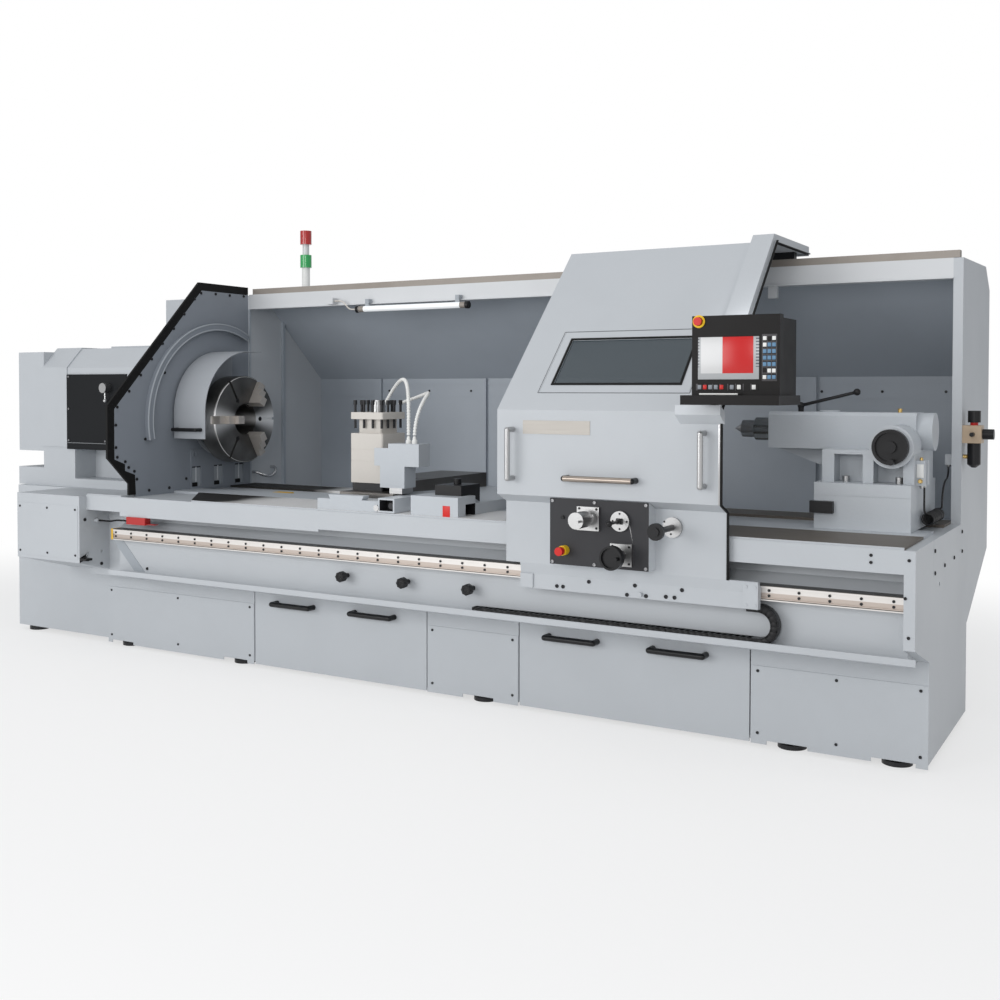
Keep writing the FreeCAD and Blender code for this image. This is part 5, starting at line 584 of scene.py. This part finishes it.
def add_bar(shape, radius, start, end, sides=16):
    start, end = Vector(start), Vector(end)
    lie = Matrix.Translation((start + end) / 2) @ along(end - start)
    bmesh.ops.create_cone(shape, cap_ends=True, segments=sides, radius1=radius, radius2=radius,
                          depth=(end - start).length, matrix=lie)


def finish_piece(name, shape, finish, body, stands_for=()):
    bmesh.ops.scale(shape, vec=(0.001, 0.001, 0.001), verts=shape.verts)
    bmesh.ops.recalc_face_normals(shape, faces=shape.faces)
    mesh = bpy.data.meshes.new(name)
    shape.to_mesh(mesh)
    shape.free()
    mesh.shade_smooth()
    mesh.set_sharp_from_angle(angle=SHARP_ANGLE)
    mesh.materials.append(finish.material)
    piece = bpy.data.objects.new(name, mesh)
    bpy.context.collection.objects.link(piece)
    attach(piece, body)
    if stands_for:
        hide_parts(*stands_for)
    print(name, len(mesh.polygons), "faces")


def box_piece(name, finish, body, low, high, edge=0.0):
    shape = bmesh.new()
    add_box(shape, low, high, edge)
    finish_piece(name, shape, finish, body)


def turned_piece(name, finish, body, outline, at, axis=TO_FRONT, sides=32):
    shape = bmesh.new()
    add_turned(shape, outline, at, axis, sides)
    finish_piece(name, shape, finish, body)


# %% [markdown]
# ## Screws
# A socket screw is a low turned head with a sunk middle. One outline serves them all, spun with
# few sides because there are many, and each row of screws is one piece with one name. They're
# placed where the photograph shows them.

# %% Socket screws on the sheets
HEAD = ((0, 0), (1, 0), (1, 0.42), (0.86, 0.56), (0.52, 0.56), (0.46, 0.2), (0, 0.2))


def screws(name, places, radius, axis, body, finish=black_steel):
    shape = bmesh.new()
    for spot in places:
        add_turned(shape, [(r * radius, h * radius) for r, h in HEAD], spot, axis, sides=12)
    finish_piece(name, shape, finish, body)


# %% Screws round the chuck's wall and in the enclosure
PLATE_FACE = -1420
plate_screws = ((-110, 1983), (5, 1986), (120, 1986), (237, 1989), (-161, 1946), (-241, 1857),
                (-320, 1773), (-402, 1688), (-481, 1602), (-559, 1515), (-639, 1429), (-720, 1346),
                (-730, 1252), (-730, 1135), (-722, 1084), (-669, 1058), (-646, 1026), (-607, 1004),
                (-590, 961), (-388, 1530), (-530, 1172), (-233, 941), (-360, 899), (-505, 896))
screws("splash_plate_screws", [(PLATE_FACE, y, z) for y, z in plate_screws], 8, TO_RIGHT, "machine")
screws("rear_wall_screws", [(x, 958, 1432) for x in range(-880, 2500, 298)], 7, TO_FRONT, "machine")

# %% Screws on the sliding guard and its panel
beam_screws = ((1157, 628), (1185, 628), (1303, 658), (1472, 620), (1506, 660), (1554, 622),
               (1638, 627), (1674, 627), (1705, 659))
guard_screws = (
    ("slide_beam_screws", [(x, -705, z) for x, z in beam_screws], 8, black_steel),
    ("control_panel_screws", [(x, -782, z) for x in (1176, 1364, 1585) for z in (742, 990)], 7,
     screw_steel),
    ("feed_plate_screws", [(x, -794, z) for x in (1302, 1378) for z in (889, 965)], 5, black_steel),
    ("fine_plate_screws", [(x, -794, z) for x in (1448, 1519) for z in (757, 824)], 5, black_steel),
    ("joystick_disc_screws", [(1479 + 30 * a, -796, 923 + 30 * b) for a, b in
                              ((0, 1), (1, 0), (0, -1), (-1, 0))], 4, black_steel),
    ("guard_knob_screws", [(1670 + 31 * a, -803, 903 + 31 * b) for a, b in
                           ((0, 1), (0.87, -0.5), (-0.87, -0.5))], 4, black_steel),
)
for name, places, radius, finish in guard_screws:
    screws(name, places, radius, TO_FRONT, "sliding_guard", finish)

# %% Screws on the bed, the end walls and the boxes
end_screws = ((-323, 828), (-318, 742), (-107, 746), (114, 749), (316, 752), (310, 836))
machine_screws = (
    ("fascia_screws", [(2420, -694, 846), (2420, -694, 820)], 6, TO_FRONT, black_steel),
    ("end_wall_screws", [(2574, y, z) for y, z in end_screws], 8, TO_RIGHT, black_steel),
    ("box_side_screws", [(-1689, -706, 741), (-1689, -688, 523), (-1689, -596, 492)], 9, TO_RIGHT,
     black_steel),
    ("gear_panel_screws", [(-2241, -350, z) for z in (1512, 1325, 1141)] + [(-1935, -350, 1141)], 6,
     TO_FRONT, screw_steel),
    ("apron_screws", [(-1321, -612, 494)], 8, TO_FRONT, black_steel),
    ("housing_screws", [(2552, -694, z) for z in (836, 560)] + [(2540, -694, 700)], 6, TO_FRONT,
     black_steel),
)
for name, places, radius, axis, finish in machine_screws:
    screws(name, places, radius, axis, "machine", finish)

# %% [markdown]
# ## Bolts on the chuck's face
# Six socket bolts sit in counterbores round the bore. A bolt and the rim of its counterbore are
# one outline, spun together, and six copies stand on a circle about the spindle.

# %% Six bolts in a circle
FACE_BOLT = ((0, 0), (13, 0), (13, 1.2), (10.5, 1.6), (9.5, 0.6), (9, 0.6), (9, 3.4), (8, 4),
             (4.6, 4), (4.2, 1.4), (0, 1.4))
FACE_X, BOLT_CIRCLE = -1202, 122
shape = bmesh.new()
for number in range(6):
    angle = math.radians(60 * number + 30)
    add_turned(shape, FACE_BOLT, (FACE_X, SPINDLE_Y + BOLT_CIRCLE * math.sin(angle),
                                  SPINDLE_Z + BOLT_CIRCLE * math.cos(angle)), TO_RIGHT, sides=20)
finish_piece("chuck_bolts", shape, black_steel, "spindle")

# %% [markdown]
# ## Rims of the raised arc
# The wall by the chuck has a raised arc that follows the swinging hood. Its two rounded edges
# catch the light, so each gets a thin round bar in a lighter grey than the wall, a painted
# highlight: a ring of eight points, spun about the spindle.


# %% Two bent bars
def add_arc(shape, radius, tube, start, sweep, x):
    """A round bar bent about the spindle axis, from an angle above the back, in degrees."""
    before = set(shape.verts)
    centre = (x, SPINDLE_Y, SPINDLE_Z)
    corners = [math.tau * number / 8 for number in range(8)]
    ring = [shape.verts.new((x + tube * math.cos(a), SPINDLE_Y + radius + tube * math.sin(a),
                             SPINDLE_Z)) for a in corners]
    edges = [shape.edges.new((a, b)) for a, b in zip(ring, ring[1:] + ring[:1])]
    bmesh.ops.spin(shape, geom=ring + edges, angle=math.radians(sweep), steps=64, axis=TO_RIGHT,
                   cent=centre)
    bmesh.ops.rotate(shape, verts=newer(shape, before), cent=centre,
                     matrix=Matrix.Rotation(math.radians(start), 3, "X"))


shape = bmesh.new()
for radius in (541, 509):
    add_arc(shape, radius, 4.5, 63, 128, -1391)
# The bars' lighter grey is a painted highlight on the arc's edges
finish_piece("arc_rims", shape, inner_paint, "machine")

# %% [markdown]
# ## Slots under the spindle
# The wall under the spindle nose has three tall slots with a rib down their middle. A thin liner
# and a dark upper lip, a painted shadow under each slot's top edge, give each slot its depth, so
# the wall itself isn't cut.

# %% Slot liners, ribs and lip shadows
SLOT_WIDTH, SLOT_STEP = 72, 172.5
liner, ribs, lip_shadows = bmesh.new(), bmesh.new(), bmesh.new()
for number in range(3):
    front = -195 + SLOT_STEP * number
    near, far = front + 0.5, front + SLOT_WIDTH - 0.5
    add_box(liner, (PLATE_FACE, near, 893.5), (PLATE_FACE + 0.8, far, 1005.5))
    add_box(ribs, (PLATE_FACE, front + 32, 918), (PLATE_FACE + 4.5, front + 40, 1003), 1)
    # The charcoal lip is a painted shadow under the slot's top edge
    add_box(lip_shadows, (PLATE_FACE, near, 998), (PLATE_FACE + 2.5, far, 1005.6), 0.5)
finish_piece("slot_liners", liner, inner_paint, "machine")
finish_piece("slot_ribs", ribs, pale_paint, "machine")
finish_piece("slot_lip_shadows", lip_shadows, charcoal, "machine")
low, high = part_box("splash_plate")
print("splash plate reaches", round(high[0], 3))

# %% [markdown]
# ## Segmented coolant hoses
# The white coolant hoses are strings of ball-and-socket beads that hold the shape they're bent
# to. Each bead is a turned cup with a ball at its end, and the beads follow the same arch as the
# drawn hose, so the stand-in in the frame and the beads share their place.


# %% Bead after bead
def bend_point(points, t):
    """A point and heading on a four-point curve."""
    a, b, c, d = (Vector(p) for p in points)
    s = 1 - t
    spot = a * s ** 3 + b * 3 * s * s * t + c * 3 * s * t * t + d * t ** 3
    head = (b - a) * s * s + (c - b) * 2 * s * t + (d - c) * t * t
    return spot, head.normalized()


BEAD = ((0, 0), (5.4, 0), (8.6, 2), (9.3, 6), (8.2, 10.5), (6.0, 12), (6.4, 14.5), (5.2, 17),
        (0, 17.6))
SOCKET = ((0, 0), (13, 0), (13, 14), (9, 20), (0, 20))
NOZZLE = ((0, 0), (8.5, 0), (8.5, 6), (4.5, 26), (3, 30), (0, 30))
BEAD_STEP = 13.6
arches = (((262, -486, 1211), (262, -486, 1447), (68, -186, 1607), (-93, -172, 1376)),
          ((296, -486, 1211), (296, -486, 1447), (288, -156, 1457), (13, -172, 1376)))
shape = bmesh.new()
for arch_points in arches:
    foot = Vector(arch_points[0])
    add_turned(shape, SOCKET, foot - Vector((0, 0, 24)), TO_TOP, sides=20)
    add_turned(shape, BEAD, foot - Vector((0, 0, 6)), TO_TOP, sides=14)
    reach, last, t = 0.0, foot, 0.0
    while t < 1:
        spot, head = bend_point(arch_points, t)
        reach += (spot - last).length
        last = spot
        if reach > BEAD_STEP:
            add_turned(shape, BEAD, spot, head, sides=14)
            reach = 0.0
        t += 0.002
    spot, head = bend_point(arch_points, 1)
    add_turned(shape, NOZZLE, spot, head, sides=16)
finish_piece("hose_beads", shape, white_plastic, "cross_slide", ["coolant_hoses"])

# %% [markdown]
# ## Star knobs under the rail
# The three black knobs under the rail have eight round lobes for grip. A turned core with a dished
# front carries eight short turned lobes round its edge, and a plain bar is the stem. The new knob
# takes the drawn one's place, so its front and back come from the drawn knob's box.


# %% Lobed knobs
def star_knob(name, centre, radius, depth, reach, stem, body, stands_for):
    shape = bmesh.new()
    x, y, z = centre
    core, lobe = radius * 0.93, radius * 0.19
    add_turned(shape, ((0, 0), (core * 0.8, 0), (core, 3), (core, depth - 3), (core * 0.86, depth),
                       (core * 0.5, depth), (core * 0.44, depth - 2), (0, depth - 1.4)),
               (x, y, z), sides=40)
    for number in range(8):
        angle = math.tau * number / 8
        a, b = math.sin(angle) * radius * 0.81, math.cos(angle) * radius * 0.81
        add_turned(shape, ((0, 1), (radius * 0.15, 1), (lobe, 3), (lobe, depth - 3),
                           (radius * 0.15, depth - 1), (0, depth - 1)), (x + a, y, z + b), sides=14)
    add_bar(shape, stem, (x, y + reach, z), (x, y, z), 24)
    finish_piece(name, shape, black_plastic, body, stands_for)


KNOB_RADIUS, KNOB_DEPTH, KNOB_STEM, KNOB_STEP, KNOB_Z = 25, 34, 11, 346, 566
for number in range(3):
    name = "bed_knob_%d" % (number + 1)
    low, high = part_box(name)
    front, back = low[1] * 1000, high[1] * 1000
    star_knob("star_" + name, (2 + KNOB_STEP * number, front + KNOB_DEPTH, KNOB_Z), KNOB_RADIUS,
              KNOB_DEPTH, back - front - KNOB_DEPTH, KNOB_STEM, name, [name])

# %% [markdown]
# ## Cable chain
# The cables to the control panel run in a jointed plastic chain: a lower run in the tray, a half
# turn at the right and an upper run back under the slide beam. The links are set where they show,
# on the lower run and the turn. Each is a box with rounded edges and a raised side plate, a hair
# apart from its neighbour, and the drawn chain inside them closes the gaps.

# %% Links
LINK_PITCH, TURN_LINKS = 25.0, 10
RUN_LEFT, RUN_RIGHT, RUN_Y, RUN_Z, TURN_RADIUS = 724, 1996, -652, 479.3, 65
places = [(Vector((RUN_LEFT + LINK_PITCH * (number + 0.5), RUN_Y, RUN_Z)), 0.0)
          for number in range(int((RUN_RIGHT - RUN_LEFT) / LINK_PITCH))]
for number in range(TURN_LINKS):
    angle = math.pi * (number + 0.5) / TURN_LINKS
    places.append((Vector((RUN_RIGHT + TURN_RADIUS * math.sin(angle), RUN_Y,
                           RUN_Z + TURN_RADIUS * (1 - math.cos(angle)))), angle))
shape = bmesh.new()
for centre, angle in places:
    before = set(shape.verts)
    add_box(shape, (-11.6, -20, -15), (11.6, 20, 15), 2.0)
    add_box(shape, (-9, -20.4, -8), (9, 20.4, 8), 1.0)
    bmesh.ops.transform(shape, matrix=Matrix.Translation(centre) @ Matrix.Rotation(-angle, 4, "Y"),
                        verts=newer(shape, before))
low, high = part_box("cable_chain")
print("chain box:", [round(v, 3) for v in low], [round(v, 3) for v in high])
finish_piece("chain_links", shape, black_plastic, "sliding_guard")

# %% [markdown]
# ## The screen, its keys and the stop button's collar
# The control screen shows a plain start page, half white and half red, with a grey bar below and
# short grey ticks in its margins. It's one thin plate whose colours come from where each point
# lies, so no picture is needed. The keys are separate caps with rounded edges on two dark plates,
# with one piece for each colour. A collar rings the stop button, and a pen lies on the shelf.

# %% The start page
PAGE_LEFT, PAGE_RIGHT, PAGE_FOOT, RED_LEFT = 1883, 2077, 1498, 1964
page = Finish("start_page", (0.8, 0.8, 0.8), 0.22)
across = page.node("SeparateXYZ", inputs={0: page.place((1000, 1000, 1000))})
upward = Signal(page, across.socket.node.outputs["Z"])
above_foot = upward.math("GREATER_THAN", PAGE_FOOT)
left_of_edge = across.math("LESS_THAN", PAGE_RIGHT)
is_red = across.math("GREATER_THAN", RED_LEFT) * left_of_edge
is_page = across.math("GREATER_THAN", PAGE_LEFT) * left_of_edge * above_foot
tick = (upward * (math.tau / 11)).math("SINE").math("GREATER_THAN", 0.1)
in_margin = 1 - across.math("GREATER_THAN", 1878) * across.math("LESS_THAN", 2086)
is_tick = tick * in_margin * upward.math("GREATER_THAN", 1520)
ground = page.blend(is_page, linear(168, 170, 172), linear(204, 204, 204))
ground = page.blend(is_red * above_foot, ground, linear(192, 22, 22))
ground = page.blend(is_tick, ground, linear(92, 96, 104))
page.set(**{"Base Color": ground, "Emission Color": ground, "Emission Strength": 0.06,
            "Roughness": 0.2 + page.noise(40, 2) * 0.05})
box_piece("screen_page", page, "pendant", (1872.5, -991.2, 1476.5), (2097.5, -989, 1627.5), 0.4)

# %% Keys and their plates
blue_keys = moulded("blue_keys", linear(92, 128, 158), 0.4)
key_plate = moulded("key_plate", linear(70, 68, 70), 0.45)
key_finish = {"grey": grey_keys, "red": red_plastic, "white": white_plastic, "blue": blue_keys}
key_rows = ("wbb", "-ww", "bbb", "bbb", "bbb", "wbb", "w-w")
soft_keys = ((1880, "grey"), (1900, "red"), (1920, "grey"), (1941, "grey"), (1962, "red"),
             (2000, "grey"), (2026, "white"), (2080, "white"))
KEY_LEFT, KEY_FOOT, KEY_STEP_X, KEY_STEP_Z = 2118.5, 1484, 16.5, 22.6
for colour, finish in key_finish.items():
    shape = bmesh.new()
    for x, kind in soft_keys:
        if kind == colour:
            add_box(shape, (x - 7, -995.2, 1441), (x + 7, -991.8, 1457), 1.2)
    for row, kinds in enumerate(key_rows):
        for column, kind in enumerate(kinds):
            if colour.startswith(kind):
                x, z = KEY_LEFT + KEY_STEP_X * column, KEY_FOOT + KEY_STEP_Z * row
                add_box(shape, (x - 6.4, -995.4, z - 7), (x + 6.4, -992.2, z + 7), 1.2)
    finish_piece("pendant_keys_" + colour, shape, finish, "pendant")
shape = bmesh.new()
add_box(shape, (2108, -992.9, 1470), (2162, -991.8, 1634), 0.4)
add_box(shape, (1866, -992.9, 1437), (2096, -991.8, 1461), 0.4)
finish_piece("key_plates", shape, key_plate, "pendant")

# %% Stop collar and pen
turned_piece("pendant_stop_collar", yellow_plastic, "pendant",
             ((16, 0), (23, 0), (23, 3), (20, 5), (16, 5), (16, 0)), (1876, -992, 1684), sides=40)
shape = bmesh.new()
add_bar(shape, 3.2, (1890, -1022, 1424), (2030, -1018, 1424))
finish_piece("shelf_pen", shape, white_plastic, "pendant")

# %% [markdown]
# ## Sheet seams and trims on the sliding guard
# A shallow seam frames the window where its sheet is let in. It's drawn flat, a dark line less
# than a millimetre proud, and then leaned back onto the guard's slope. The guard's right edge has a
# bright strip and a black wiper that follow the folded sheet from the rail to the roof.

# %% Window seam
rise = math.atan2(2069 - 1357, -109 + 791)
slope = Matrix.Translation((0, -791, 1357)) @ Matrix.Rotation(rise, 4, "X")
SEAM_LEFT, SEAM_RIGHT, SEAM_LOW, SEAM_HIGH, SEAM_PROUD = 1075, 1740, 96, 456, 0.6
shape = bmesh.new()
for x in (SEAM_LEFT, SEAM_RIGHT):
    add_box(shape, (x - 1, SEAM_LOW, 0), (x + 1, SEAM_HIGH, SEAM_PROUD))
for y in (SEAM_HIGH, SEAM_LOW):
    add_box(shape, (SEAM_LEFT - 1, y - 1, 0), (SEAM_RIGHT + 1, y + 1, SEAM_PROUD))
bmesh.ops.transform(shape, matrix=slope, verts=shape.verts)
finish_piece("window_seam", shape, charcoal, "sliding_guard")


# %% Edge strip and wiper
def add_run(shape, profile_points, left, right, proud, edge=0.0):
    """A strip that follows a profile in Y and Z, proud of it on the outer side."""
    for (y, z), (far_y, far_z) in zip(profile_points, profile_points[1:]):
        before = set(shape.verts)
        lap = proud * 0.3
        run = math.hypot(far_y - y, far_z - z)
        add_box(shape, (left, -lap, 0), (right, run + lap, proud), edge)
        lean = math.atan2(far_z - z, far_y - y)
        bmesh.ops.transform(shape, matrix=Matrix.Translation((0, y, z)) @ Matrix.Rotation(lean, 4, "X"),
                            verts=newer(shape, before))


guard_outline = ((-714, 716), (-714, 972), (-791, 1006), (-791, 1357), (-109, 2069))
shape = bmesh.new()
add_run(shape, guard_outline[2:4], 1880, 1887, 1.6, 0.5)
finish_piece("guard_edge_strip", shape, bright_steel, "sliding_guard")
shape = bmesh.new()
add_run(shape, guard_outline, 1888, 1898, 5, 1.5)
finish_piece("guard_edge_wiper", shape, rubber, "sliding_guard")

# %% [markdown]
# ## Small parts round the bed
# A yellow stop lies in the trough between the ways by the chuck, low enough for the carriage to
# pass over it. A flat brace slants across the apron's left end: it's an upright strip, sheared so
# that its ends stay level. The carriage's gearbox carries a plain red mark.

# %% Stop, brace and mark
box_piece("bed_stop", yellow_paint, "machine", (-900, -117, 868.2), (-796, -52, 879.6), 2)
BRACE_FOOT, BRACE_SHEAR = 474, -1.024
shape = bmesh.new()
add_box(shape, (-1416, -614, BRACE_FOOT), (-1338, -612, 642))
slant = Matrix.Identity(4)
slant[0][2], slant[0][3] = BRACE_SHEAR, -BRACE_SHEAR * BRACE_FOOT
bmesh.ops.transform(shape, matrix=slant, verts=shape.verts)
finish_piece("apron_brace", shape, inner_paint, "machine")
box_piece("gearbox_mark", red_plastic, "saddle", (575, -677.2, 872), (613, -675.6, 928), 0.3)

# %% [markdown]
# ## Ends of the work lamp
# The lamp is a glass tube in a metal holder. Each end has a black cap with a rounded rim and a
# metal collar behind it. Both are turned parts, and the right end is the left one the other way
# round.

# %% Lamp caps and collars
LAMP_CAP = ((0, 0), (17, 0), (20.5, 3), (20.5, 20), (0, 20))
LAMP_COLLAR = ((0, 0), (16.8, 0), (16.8, 34), (0, 34))
caps, collars = bmesh.new(), bmesh.new()
for end, toward in ((-596, 1), (138, -1)):
    tip = Vector((end - 2 * toward, 250, 1886))
    add_turned(caps, LAMP_CAP, tip, (toward, 0, 0), 28)
    add_turned(collars, LAMP_COLLAR, tip + Vector((20 * toward, 0, 0)), (toward, 0, 0), 28)
finish_piece("lamp_end_caps", caps, black_plastic, "machine")
finish_piece("lamp_collars", collars, beam_steel, "machine")

# %% [markdown]
# ## Air fittings and the hand wheel's cap
# The right wall has a brass plug for air. The valve under the tailstock's end has a white plate
# and two brass fittings, and bright ferrules hold the hoses. All of them are turned outlines, as
# the real fittings are. A flat cap covers the middle of the tailstock's wheel.

# %% Fittings
turned_piece("air_plug", brass, "machine", ((0, 0), (9, 0), (9, 14), (13, 18), (13, 34), (0, 34)),
             (2574, 330, 1156), TO_RIGHT, 24)
box_piece("valve_plate", white_plastic, "tailstock", (2473, -154, 1092), (2500, -149.5, 1146), 1.5)
shape = bmesh.new()
add_turned(shape, ((0, 0), (9, 0), (9, 5), (6, 8), (6, 14), (0, 14)), (2487, -150, 1078), sides=20)
add_turned(shape, ((0, 0), (7, 0), (7, 6), (5, 12), (0, 12)), (2487, -131, 1160), TO_TOP, sides=20)
finish_piece("valve_brass", shape, brass, "tailstock")
shape = bmesh.new()
for y in (-131, -69):
    add_turned(shape, ((0, 0), (8, 0), (8, 6), (5.2, 12), (0, 12)), (2488, y, 1060), (0, 0, -1), sides=20)
add_turned(shape, ((0, 0), (9, 0), (9, 8), (6, 12), (0, 12)), (2516, 319, 1122), (0, 0, -1), sides=20)
finish_piece("hose_ferrules", shape, bright_steel, "tailstock")
turned_piece("tailstock_wheel_disc", black_plastic, "tailstock_wheel",
             ((0, 0), (46, 0), (46, 3), (43, 5), (15, 5), (13, 2), (0, 2)), (2390, -236, 1215), sides=48)

# %% [markdown]
# ## Studio
# A plain pale floor and soft light from big panels overhead and in front, with a small one that
# lights the tailstock from behind the guard's edge. The camera sees white behind the machine,
# while its paint is lit at a plain level: Light Path tells the two kinds of ray apart. The floor
# turns to white further out, and keeps the machine's shadow near it.

# %% Floor
bpy.ops.mesh.primitive_plane_add(size=40, location=(0, 0, 0))
floor = bpy.context.object
floor.name = "studio_floor"
floor_finish = Finish("studio_floor", (0.86, 0.86, 0.86), 0.75)
away = floor_finish.node("VectorMath", {"operation": "LENGTH"},
                         {0: floor_finish.place((0.75, 1, 1))}, "Value")
ray = floor_finish.node("LightPath").socket.node.outputs
seen_ray = Signal(floor_finish, ray["Is Camera Ray"]).math(
    "MAXIMUM", Signal(floor_finish, ray["Is Glossy Ray"]))
paper = floor_finish.node("Emission", inputs={"Color": (1, 1, 1, 1), "Strength": 1.0})
floor_mix = floor_finish.node("MixShader", inputs={
    0: seen_ray * (0.62 + floor_finish.ramp(away, 2.6, 5.0) * 0.38),
    1: Signal(floor_finish, floor_finish.shader.outputs[0]), 2: paper})
floor_finish.feed(floor_finish.tree.nodes["Material Output"].inputs["Surface"], floor_mix)
floor.data.materials.append(floor_finish.material)
print("floor:", tuple(round(v, 1) for v in floor.dimensions))


# %% Soft panels
def softbox(name, place, aim, width, height, power):
    panel = bpy.data.lights.new(name, "AREA")
    panel.shape = "RECTANGLE"
    panel.size, panel.size_y, panel.energy = width, height, power
    obj = bpy.data.objects.new(name, panel)
    obj.location = place
    obj.rotation_euler = (Vector(aim) - Vector(place)).to_track_quat("-Z", "Y").to_euler()
    bpy.context.collection.objects.link(obj)


softbox("key", (-2.6, -7.0, 2.3), (0.2, 0, 1.0), 5.0, 3.0, 190)
softbox("overhead", (0.5, -1.5, 5.2), (0.3, 0.0, 1.0), 6.0, 2.5, 36)
softbox("fill", (6.2, -2.6, 1.3), (2.0, 0, 0.8), 2.5, 2.0, 7)
softbox("front fill", (3.0, -6.4, 2.6), (2.2, 0, 1.2), 1.6, 1.6, 62)
softbox("tailstock fill", (1.95, -0.74, 1.62), (2.5, -0.02, 1.2), 0.3, 0.3, 2.6)
print("lights:", len(bpy.data.lights))

# %% Background
world = bpy.data.worlds.new("studio")
bpy.context.scene.world = world
world.use_nodes = True
links, graph = world.node_tree.links, world.node_tree.nodes
soft = graph["Background"]
soft.inputs["Color"].default_value = (0.95, 0.97, 1.0, 1)
soft.inputs["Strength"].default_value = 0.56
white = graph.new("ShaderNodeBackground")
white.inputs["Color"].default_value = (1, 1, 1, 1)
white.inputs["Strength"].default_value = 1.0
rays = graph.new("ShaderNodeLightPath")
seen = graph.new("ShaderNodeMath")
seen.operation = "MAXIMUM"
links.new(rays.outputs["Is Camera Ray"], seen.inputs[0])
links.new(rays.outputs["Is Transmission Ray"], seen.inputs[1])
either = graph.new("ShaderNodeMixShader")
links.new(seen.outputs[0], either.inputs[0])
links.new(soft.outputs[0], either.inputs[1])
links.new(white.outputs[0], either.inputs[2])
links.new(either.outputs[0], graph["World Output"].inputs[0])
bpy.context.scene.view_settings.view_transform = "Standard"
print("world nodes:", len(graph))
